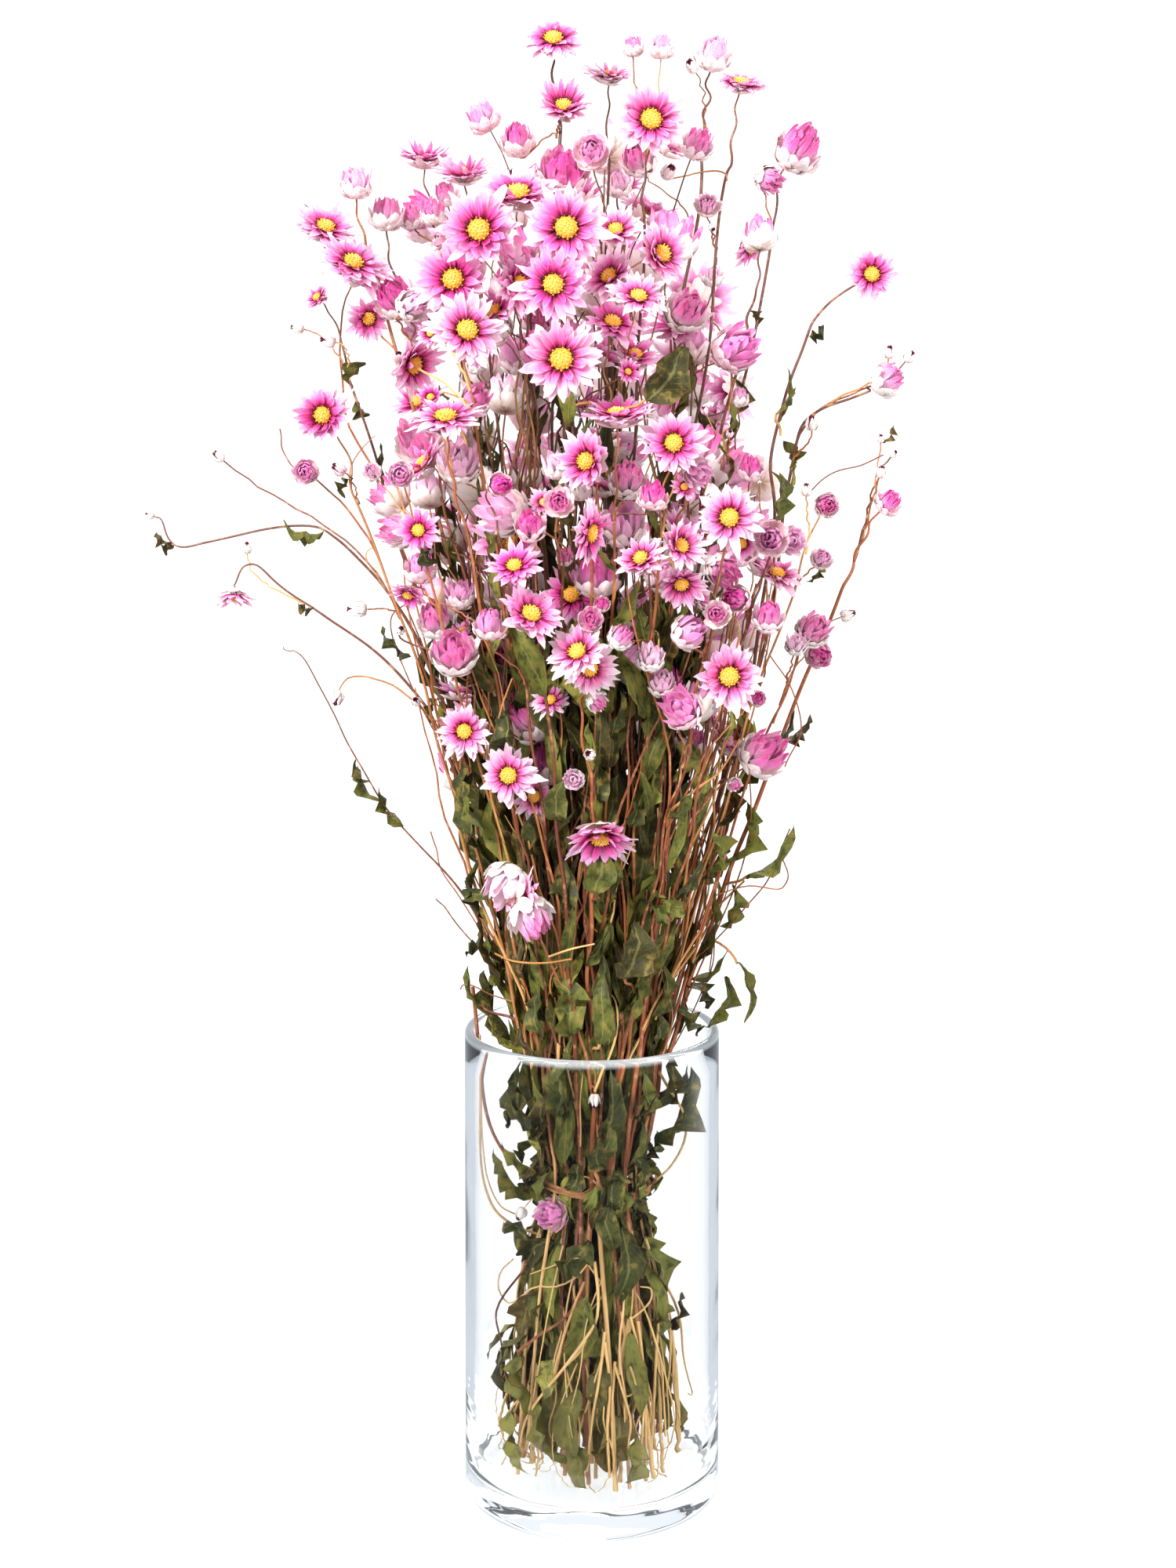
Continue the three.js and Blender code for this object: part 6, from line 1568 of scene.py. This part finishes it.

# %% [markdown]
# ## Colour
#
# Every colour below comes from nodes that read the marks on the meshes: how far along the blade a point
# is, how far across, how pink the head is (on stems and leaves: how far out in the bunch it lies, which
# darkens the inside as a painted shade) and a chance number for each blade. So a petal can be dark at
# its foot, hot pink above and pale at its tip, whichever way it grows. One node group makes the fine
# fibres that run along petals, scales, stems and straw alike.

# %% Node helpers
def joined(tree, made, inputs):
    """A node with its inputs set, each given as a value or as a socket to link."""
    for key, value in inputs.items():
        if isinstance(value, bpy.types.NodeSocket):
            tree.links.new(value, made.inputs[key])
        else:
            made.inputs[key].default_value = value
    return made


def node(tree, kind_, inputs, **settings):
    """A new node with its settings and its inputs."""
    made = tree.nodes.new(kind_)
    for key, value in settings.items():
        setattr(made, key, value)
    return joined(tree, made, inputs)


def marks_of(tree, *names):
    """The values of marks on the mesh."""
    return [node(tree, "ShaderNodeAttribute", {}, attribute_name=name).outputs["Fac"] for name in names]


def place_of(tree):
    """The place in the bunch, and its height."""
    where = node(tree, "ShaderNodeTexCoord", {}).outputs["Object"]
    return where, node(tree, "ShaderNodeSeparateXYZ", {0: where}).outputs["Z"]


def maths(tree, operation, a, b=0.0, clamp=False):
    """One sum on numbers."""
    return node(tree, "ShaderNodeMath", {0: a, 1: b}, operation=operation, use_clamp=clamp).outputs[0]


def scaled(tree, value, factor, middle=0.0):
    """(value - middle) times factor."""
    if middle:
        value = maths(tree, "SUBTRACT", value, middle)
    return maths(tree, "MULTIPLY", value, factor)


def spread(tree, value, low, high, to_low=0.0, to_high=1.0):
    """value from low..high brought to to_low..to_high, with soft ends."""
    inputs = {"Value": value, "From Min": low, "From Max": high, "To Min": to_low, "To Max": to_high}
    return node(tree, "ShaderNodeMapRange", inputs, interpolation_type="SMOOTHSTEP").outputs["Result"]


def noise(tree, where, scale, detail, rough=0.5):
    """Noise between 0 and 1."""
    inputs = {"Vector": where, "Scale": scale, "Detail": detail, "Roughness": rough}
    return node(tree, "ShaderNodeTexNoise", inputs).outputs["Fac"]


def blend(tree, share_, a, b):
    """Colour a, with share of colour b over it."""
    a, b = ((*colour, 1.0) if isinstance(colour, tuple) else colour for colour in (a, b))
    return node(tree, "ShaderNodeMix", {0: share_, 6: a, 7: b}, data_type="RGBA").outputs[2]


def layered(tree, colour, rows):
    """colour with others over it. A row is a value, where it starts and ends to show, its most, a colour."""
    for value, low, high, most, over in rows:
        colour = blend(tree, spread(tree, value, low, high, 0.0, most), colour, over)
    return colour


def bump(tree, height, strength, distance):
    """A bump normal from a height."""
    inputs = {"Height": height, "Strength": strength, "Distance": distance}
    return node(tree, "ShaderNodeBump", inputs).outputs[0]


def rgb(red, green, blue):
    """A colour as read on a screen, 0 to 255, made linear."""
    c = np.array([red, green, blue]) / 255
    return tuple(float(v) for v in np.where(c <= 0.04045, c / 12.92, ((c + 0.055) / 1.055) ** 2.4))


def new_material(name):
    """An empty node material and its tree, with a Principled shader on its output."""
    material = bpy.data.materials.new(name)
    material.use_nodes = True
    return material, material.node_tree


def dressed(material, inputs):
    """The material with the inputs of its shader set."""
    joined(material.node_tree, material.node_tree.nodes["Principled BSDF"], inputs)
    return material


def papery(material, colour, uneven, rough, relief, inputs=None):
    """The material with a colour, a roughness between two values, and a bump.

    relief is the bump's height, strength and distance, and inputs are more inputs of the shader.
    """
    tree = material.node_tree
    roughness = spread(tree, uneven, 0.3, 0.7, *rough)
    surface = {"Base Color": colour, "Roughness": roughness, "Normal": bump(tree, *relief)}
    return dressed(material, {**surface, **(inputs or {})})


# %% Node group: fibres
def fibre_group():
    """Streaks that run along a blade or stem: noise on (across x Fineness, along x Stretch, chance)."""
    group = bpy.data.node_groups.new("dry_fibres", "ShaderNodeTree")
    for name in ("Along", "Across", "Chance", "Fineness", "Stretch"):
        group.interface.new_socket(name, in_out="INPUT", socket_type="NodeSocketFloat")
    for name in ("Streaks", "Blotches"):
        group.interface.new_socket(name, in_out="OUTPUT", socket_type="NodeSocketFloat")
    given = group.nodes.new("NodeGroupInput").outputs
    place = node(group, "ShaderNodeCombineXYZ", {
        "X": maths(group, "MULTIPLY", given["Across"], given["Fineness"]),
        "Y": maths(group, "MULTIPLY", given["Along"], given["Stretch"]),
        "Z": maths(group, "MULTIPLY", given["Chance"], 91.0),
    }).outputs[0]
    where = node(group, "ShaderNodeTexCoord", {}).outputs["Object"]
    node(group, "NodeGroupOutput", {
        "Streaks": noise(group, place, 1.0, 3.0, 0.6), "Blotches": noise(group, where, 260.0, 3.0, 0.55),
    })
    return group


FIBRES = fibre_group()


def fibres(tree, fineness, stretch):
    """The fibre group with its marks joined: returns streaks and blotches."""
    along, across_, chance = marks_of(tree, "along", "across", "shade")
    inputs = {"Along": along, "Across": across_, "Chance": chance, "Fineness": fineness, "Stretch": stretch}
    made = tree.nodes.new("ShaderNodeGroup")
    made.node_tree = FIBRES
    return joined(tree, made, inputs).outputs[:2]


# %% [markdown]
# ### Petals
#
# From foot to tip a petal goes maroon, magenta, pink and almost white. Strong heads stay pink to the
# tip, pale ones turn white early. The veins are a little darker and the paper shines a little.

# %% Petal material
def petal_material():
    material, tree = new_material("papery_petal")
    along, across_, pinkness, chance = marks_of(tree, "along", "across", "tint", "shade")
    streaks, blotches = fibres(tree, 6.0, 1.1)
    reach = maths(tree, "ADD", along, scaled(tree, streaks, 0.5, 0.5))
    strong = maths(tree, "ADD", pinkness, scaled(tree, chance, 0.3, 0.5), clamp=True)
    tip = blend(tree, strong, rgb(255, 240, 247), rgb(250, 190, 226))
    upper = blend(tree, strong, rgb(252, 210, 232), rgb(244, 132, 204))
    body = blend(tree, strong, rgb(242, 136, 192), rgb(228, 50, 156))
    heart = blend(tree, strong, rgb(216, 40, 118), rgb(190, 8, 98))
    colour = layered(tree, heart, [
        (reach, 0.4, 0.58, 1.0, body),
        (reach, 0.54, 0.86, 1.0, upper),
        (reach, 0.84, 1.12, 1.0, tip),
        (streaks, 0.54, 0.7, 0.5, body),
    ])
    edge = spread(tree, maths(tree, "ABSOLUTE", across_), 0.4, 1.0, 0.0, 0.5)
    edge = maths(tree, "MULTIPLY", edge, spread(tree, reach, 0.5, 0.85))
    colour = layered(tree, blend(tree, edge, colour, tip), [
        (blotches, 0.58, 0.8, 0.35, rgb(255, 244, 250)),
        (reach, 0.44, 0.35, 1.0, rgb(70, 6, 32)),
    ])
    return papery(material, colour, streaks, (0.42, 0.62), (streaks, 0.6, 0.0004), {
        "Subsurface Weight": 0.4, "Subsurface Radius": (1.0, 0.45, 0.6), "Subsurface Scale": 0.003,
        "Specular IOR Level": 0.3,
    })


# %% [markdown]
# ### Scales
#
# The scales under a head are silvery white paper that lets a flush of the petals through, brownish at the
# foot, with fine brown lines.

# %% Scale material
def scale_material():
    material, tree = new_material("silvery_scale")
    along, pinkness, chance = marks_of(tree, "along", "tint", "shade")
    streaks, blotches = fibres(tree, 5.0, 1.0)
    reach = maths(tree, "ADD", along, scaled(tree, streaks, 0.5, 0.5))
    flush = spread(tree, chance, 0.0, 1.0, 0.4, 1.0)
    flush = maths(tree, "MULTIPLY", flush, spread(tree, pinkness, 0.2, 1.0, 0.1, 1.0))
    tip = blend(tree, flush, rgb(255, 250, 245), rgb(255, 202, 220))
    body = blend(tree, flush, rgb(252, 238, 222), rgb(246, 182, 194))
    colour = layered(tree, body, [
        (reach, 0.35, 0.85, 1.0, tip),
        (reach, 0.3, 0.05, 1.0, rgb(200, 160, 132)),
        (streaks, 0.56, 0.7, 0.4, rgb(206, 146, 132)),
    ])
    return papery(material, colour, blotches, (0.34, 0.55), (streaks, 0.6, 0.0004), {
        "Subsurface Weight": 0.3, "Subsurface Radius": (1.0, 0.8, 0.85), "Subsurface Scale": 0.0015,
    })


# %% [markdown]
# ### Discs
#
# Florets are golden yellow, paler in the middle where they are still shut, and brown at the very edge.

# %% Disc material
def disc_material():
    material, tree = new_material("disc_florets")
    along, chance = marks_of(tree, "along", "shade")
    grain = noise(tree, node(tree, "ShaderNodeTexCoord", {}).outputs["Object"], 1400.0, 2.0)
    colour = layered(tree, rgb(250, 224, 138), [
        (along, 0.25, 0.6, 1.0, rgb(246, 190, 58)),
        (along, 0.78, 0.93, 1.0, rgb(226, 148, 42)),
        (along, 0.93, 0.97, 1.0, rgb(66, 16, 26)),
        (chance, 0.8, 1.0, 0.4, rgb(206, 124, 34)),
        (grain, 0.5, 0.7, 0.4, rgb(255, 228, 130)),
    ])
    return papery(material, colour, grain, (0.6, 0.85), (grain, 0.6, 0.0003))


# %% [markdown]
# ### Stems
#
# Upper stems are terracotta to dark red-brown, a few golden, and all bleach to straw at the foot. Fine
# ridges run along them. Deep inside the bunch their colour is darkened: a painted shade.

# %% Stem material
def stem_material():
    material, tree = new_material("dry_stem")
    chance, outer = marks_of(tree, "shade", "tint")
    streaks, blotches = fibres(tree, 1.6, 0.06)
    level = maths(tree, "SUBTRACT", place_of(tree)[1], scaled(tree, chance, 0.28, 0.35))
    colour = layered(tree, rgb(102, 54, 36), [
        (chance, 0.0, 0.5, 1.0, rgb(158, 88, 50)),
        (chance, 0.5, 0.75, 1.0, rgb(186, 130, 68)),
        (chance, 0.82, 0.96, 1.0, rgb(214, 176, 108)),
        (level, 0.12, 0.02, 1.0, rgb(206, 168, 108)),
        (level, 0.33, 0.46, 0.55, rgb(104, 62, 50)),
        (streaks, 0.5, 0.75, 0.55, rgb(96, 52, 34)),
        (blotches, 0.52, 0.7, 0.5, rgb(206, 150, 104)),
        # painted shade: stems towards the middle of the bunch are darkened by how far out they lie
        (outer, 0.85, 0.4, 0.75, rgb(58, 32, 18)),
    ])
    return papery(material, colour, streaks, (0.4, 0.65), (streaks, 0.5, 0.0005))


# %% [markdown]
# ### Leaves
#
# Dried leaves run from olive to dark green, some yellowish and some brown. A pale midrib and slanting
# side veins show, the edge is browner, and where leaves crowd inside the bunch they are darkened: a painted
# shade.

# %% Leaf material
def leaf_material():
    material, tree = new_material("dry_leaf")
    along, across_, chance, outer = marks_of(tree, "along", "across", "shade", "tint")
    streaks, blotches = fibres(tree, 2.0, 3.0)
    aside = maths(tree, "ABSOLUTE", across_)
    colour = layered(tree, rgb(74, 54, 26), [
        (chance, 0.0, 0.2, 1.0, rgb(54, 58, 24)),
        (chance, 0.2, 0.5, 1.0, rgb(84, 88, 34)),
        (chance, 0.45, 0.8, 1.0, rgb(110, 114, 44)),
        (chance, 0.85, 0.98, 1.0, rgb(150, 148, 66)),
        (blotches, 0.52, 0.68, 0.75, rgb(130, 110, 50)),
        (blotches, 0.5, 0.34, 0.8, rgb(42, 44, 20)),
        (streaks, 0.52, 0.66, 0.4, rgb(60, 52, 24)),
        (place_of(tree)[1], 0.1, 0.03, 0.2, rgb(168, 150, 90)),
    ])
    slant = maths(tree, "SUBTRACT", scaled(tree, along, 9.0), scaled(tree, aside, 2.6))
    wave = maths(tree, "ABSOLUTE", maths(tree, "SUBTRACT", maths(tree, "FRACT", slant), 0.5))
    rib = spread(tree, aside, 0.14, 0.03)
    veins = maths(tree, "MAXIMUM", scaled(tree, spread(tree, wave, 0.4, 0.5), 0.45), rib)
    colour = layered(tree, blend(tree, scaled(tree, veins, 0.5), colour, rgb(128, 126, 74)), [
        (aside, 0.86, 1.0, 0.4, rgb(112, 88, 52)),
        # painted shade: leaves towards the middle of the bunch are darkened by how far out they lie
        (outer, 0.85, 0.35, 0.75, rgb(40, 30, 14)),
    ])
    height = maths(tree, "ADD", scaled(tree, veins, 0.5), blotches)
    return papery(material, colour, streaks, (0.5, 0.75), (height, 0.7, 0.0008), {"Specular IOR Level": 0.25})


# %% [markdown]
# ### Glass and strand
#
# The glass is clear with the faintest cool tint. What shows of clear glass is only what it bends and
# mirrors, so the light set-up below has grey sides for its edges to catch. Light that runs round inside a
# rim and a foot leaves there after more turns than a renderer follows, so these two glow a little. Towards
# the foot, where it is pressed into its mould, the glass is uneven in level ripples, and these break what
# shines through the foot into grey patches.

# %% Glass and tie materials
def glass_material():
    material, tree = new_material("clear_glass")
    where, height = place_of(tree)
    flat = {0: where, 1: (0.3, 0.3, 1.2)}
    level = node(tree, "ShaderNodeVectorMath", flat, operation="MULTIPLY").outputs[0]
    pressed = spread(tree, height, (VASE_FLOOR + 7) * MM, (VASE_FLOOR + 49) * MM, 4.0, 0.0)
    ripples = maths(tree, "MULTIPLY", noise(tree, level, 70.0, 2.0), pressed)
    uneven = maths(tree, "ADD", noise(tree, where, 30.0, 1.0), ripples)
    rim = spread(tree, height, (VASE_HEIGHT - 3.4) * MM, (VASE_HEIGHT - 2) * MM)
    foot = spread(tree, height, (VASE_FLOOR + 9) * MM, (VASE_FLOOR + 1) * MM, 0.0, 0.1)
    glow = blend(tree, maths(tree, "MAXIMUM", rim, foot), (0.0, 0.0, 0.0), (0.9, 0.95, 1.0))
    return dressed(material, {
        "Base Color": (0.985, 0.995, 0.998, 1.0), "Transmission Weight": 1.0, "IOR": 1.42, "Roughness": 0.0,
        "Normal": bump(tree, uneven, 0.15, 0.002), "Emission Color": glow, "Emission Strength": 0.34,
    })


def tie_material():
    material, tree = new_material("tan_strand")
    streaks, blotches = fibres(tree, 2.5, 30.0)
    colour = layered(tree, rgb(128, 74, 40), [
        (streaks, 0.35, 0.65, 1.0, rgb(196, 138, 84)),
        (blotches, 0.5, 0.7, 0.5, rgb(104, 62, 38)),
    ])
    return papery(material, colour, streaks, (0.5, 0.7), (streaks, 0.8, 0.0006))


GREENERY = stem_material(), leaf_material()
FLOWERS = petal_material(), scale_material(), disc_material()
GLASS, STRAND = glass_material(), tie_material()

# %% [markdown]
# ## Pieces
#
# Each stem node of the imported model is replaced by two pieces: its greenery (stems, stalks and leaves) and
# its flowers (petals, scales and discs). A piece holds only the shapes that belong to the node's stems.

# %% Pieces of each stem node
greenery = [lot for lot in lots if lot["slot"] in (SLOT_STEM, SLOT_LEAF)]
flowers = [lot for lot in lots if lot["slot"] not in (SLOT_STEM, SLOT_LEAF)]
for lot in flowers:
    lot["slot"] -= SLOT_PETAL
sizes = {}
for node_name, own in node_stems.items():
    for suffix, group, materials in (("_greenery", greenery, GREENERY), ("_flowers", flowers, FLOWERS)):
        piece = mesh_piece(node_name + suffix, group, own, materials)
        if piece is None:
            continue
        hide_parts(node_name)
        sizes[piece.name] = sum(len(p.vertices) - 2 for p in piece.data.polygons)
print("largest piece:", max(sizes.values()), "triangles; all stems:", sum(sizes.values()))

# %% Vase and tie
vase = mesh_piece("vase_glass", [vase_lot], [-1], (GLASS,), sharp=80.0)
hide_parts("vase")
tie = tie_piece("tie_windings", STRAND)
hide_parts("tie")
tie_tail = mesh_piece("tie_end", [tie_end_lot], [-1], (STRAND,))

# %% [markdown]
# ## Floor and light
#
# The photograph is high key: white all round, soft light from everywhere and a little more from the front
# left. A white world does most of it. Clear glass shows only by what it mirrors and bends into its edges,
# so a studio keeps grey walls out of view. Here the world itself is grey to whatever is mirrored, but for
# the soft box overhead, and white where one looks at it, straight or through the glass.

# %% Floor
FLOOR_HALF, FLOOR_LOW = 0.1, -0.0005


def flat_card(name, corners, material):
    """A rectangle by its four corners."""
    mesh = bpy.data.meshes.new(name)
    mesh.from_pydata(corners, [], [(0, 1, 2, 3)])
    mesh.materials.append(material)
    card = placed(name, mesh)
    return card


def floor_material():
    """Pale and matt, with a glow of its own so that it stays as white as the wall behind."""
    return dressed(new_material("pale_floor")[0], {
        "Base Color": (0.25, 0.25, 0.25, 1.0), "Roughness": 0.8, "Specular IOR Level": 0.0,
        "Emission Color": (1.0, 1.0, 1.0, 1.0), "Emission Strength": 0.92,
    })


corners = [(x * FLOOR_HALF, y * FLOOR_HALF, FLOOR_LOW) for x, y in ((-1, -1), (1, -1), (1, 1), (-1, 1))]
floor = flat_card("floor", corners, floor_material())
floor.visible_glossy = False


# %% World
def studio_world():
    """White when looked at or looked through to, and 0.94 as light on the bunch, or 1.9 on what stands
    inside the glass, because no lamp shines through glass here.

    What the glass mirrors once is the studio: pale blue-grey, but for a dark band low in front, where the
    camera stands, and the soft box overhead, white from a rise of 0.95. What it mirrors again and again
    inside its wall, in rim and foot, is the pale room all round.
    """
    world = bpy.data.worlds.new("white_studio")
    world.use_nodes = True
    tree = world.node_tree
    path = node(tree, "ShaderNodeLightPath", {}).outputs
    looked = node(tree, "ShaderNodeTexCoord", {}).outputs["Generated"]
    way = node(tree, "ShaderNodeSeparateXYZ", {0: looked}).outputs
    bounced = maths(tree, "ADD", path["Diffuse Depth"], path["Glossy Depth"])
    through = maths(tree, "GREATER_THAN", path["Is Transmission Ray"], scaled(tree, bounced, 2.0))
    seen = maths(tree, "MAXIMUM", path["Is Camera Ray"], through)
    mirrored, again = (maths(tree, "GREATER_THAN", path["Glossy Depth"], depth) for depth in (0.5, 1.5))
    beside = maths(tree, "ABSOLUTE", maths(tree, "ADD", way["Z"], 0.33))
    pale = maths(tree, "MAXIMUM", spread(tree, way["Y"], -0.1, 0.5), spread(tree, beside, 0.2, 0.32))
    sides = blend(tree, pale, (0.06, 0.06, 0.07), (0.66, 0.71, 0.78))
    sides = blend(tree, spread(tree, way["Z"], 0.7, 0.95), sides, (1.0, 1.0, 1.0))
    mirror = blend(tree, again, sides, (0.8, 0.84, 0.9))
    lit = blend(tree, path["Is Transmission Ray"], (0.94, 0.94, 0.94), (1.9, 1.9, 1.9))
    colour = blend(tree, seen, blend(tree, mirrored, lit, mirror), (1.2, 1.2, 1.2))
    joined(tree, tree.nodes["Background"], {"Color": colour, "Strength": 1.0})
    return world


bpy.context.scene.world = studio_world()
bpy.context.scene.view_settings.view_transform = "Standard"


# %% Lamps
def soft_light(name, place, target, size, power):
    """A square area light that looks at a point."""
    data = bpy.data.lights.new(name, "AREA")
    data.shape, data.size, data.energy = "SQUARE", size, power
    lamp = placed(name, data)
    way = np.array(target) - np.array(place)
    lamp.location = place
    tilt = math.acos(-way[2] / np.linalg.norm(way))
    lamp.rotation_euler = (tilt, 0.0, math.atan2(way[1], way[0]) - math.pi / 2)


soft_light("key", (-0.9, -1.3, 1.3), (0.0, 0.0, 0.35), 0.6, 60.0)
soft_light("fill", (1.2, -0.9, 0.7), (0.0, 0.0, 0.3), 0.9, 16.0)
soft_light("back", (0.3, 1.4, 1.3), (0.0, 0.0, 0.35), 0.9, 26.0)
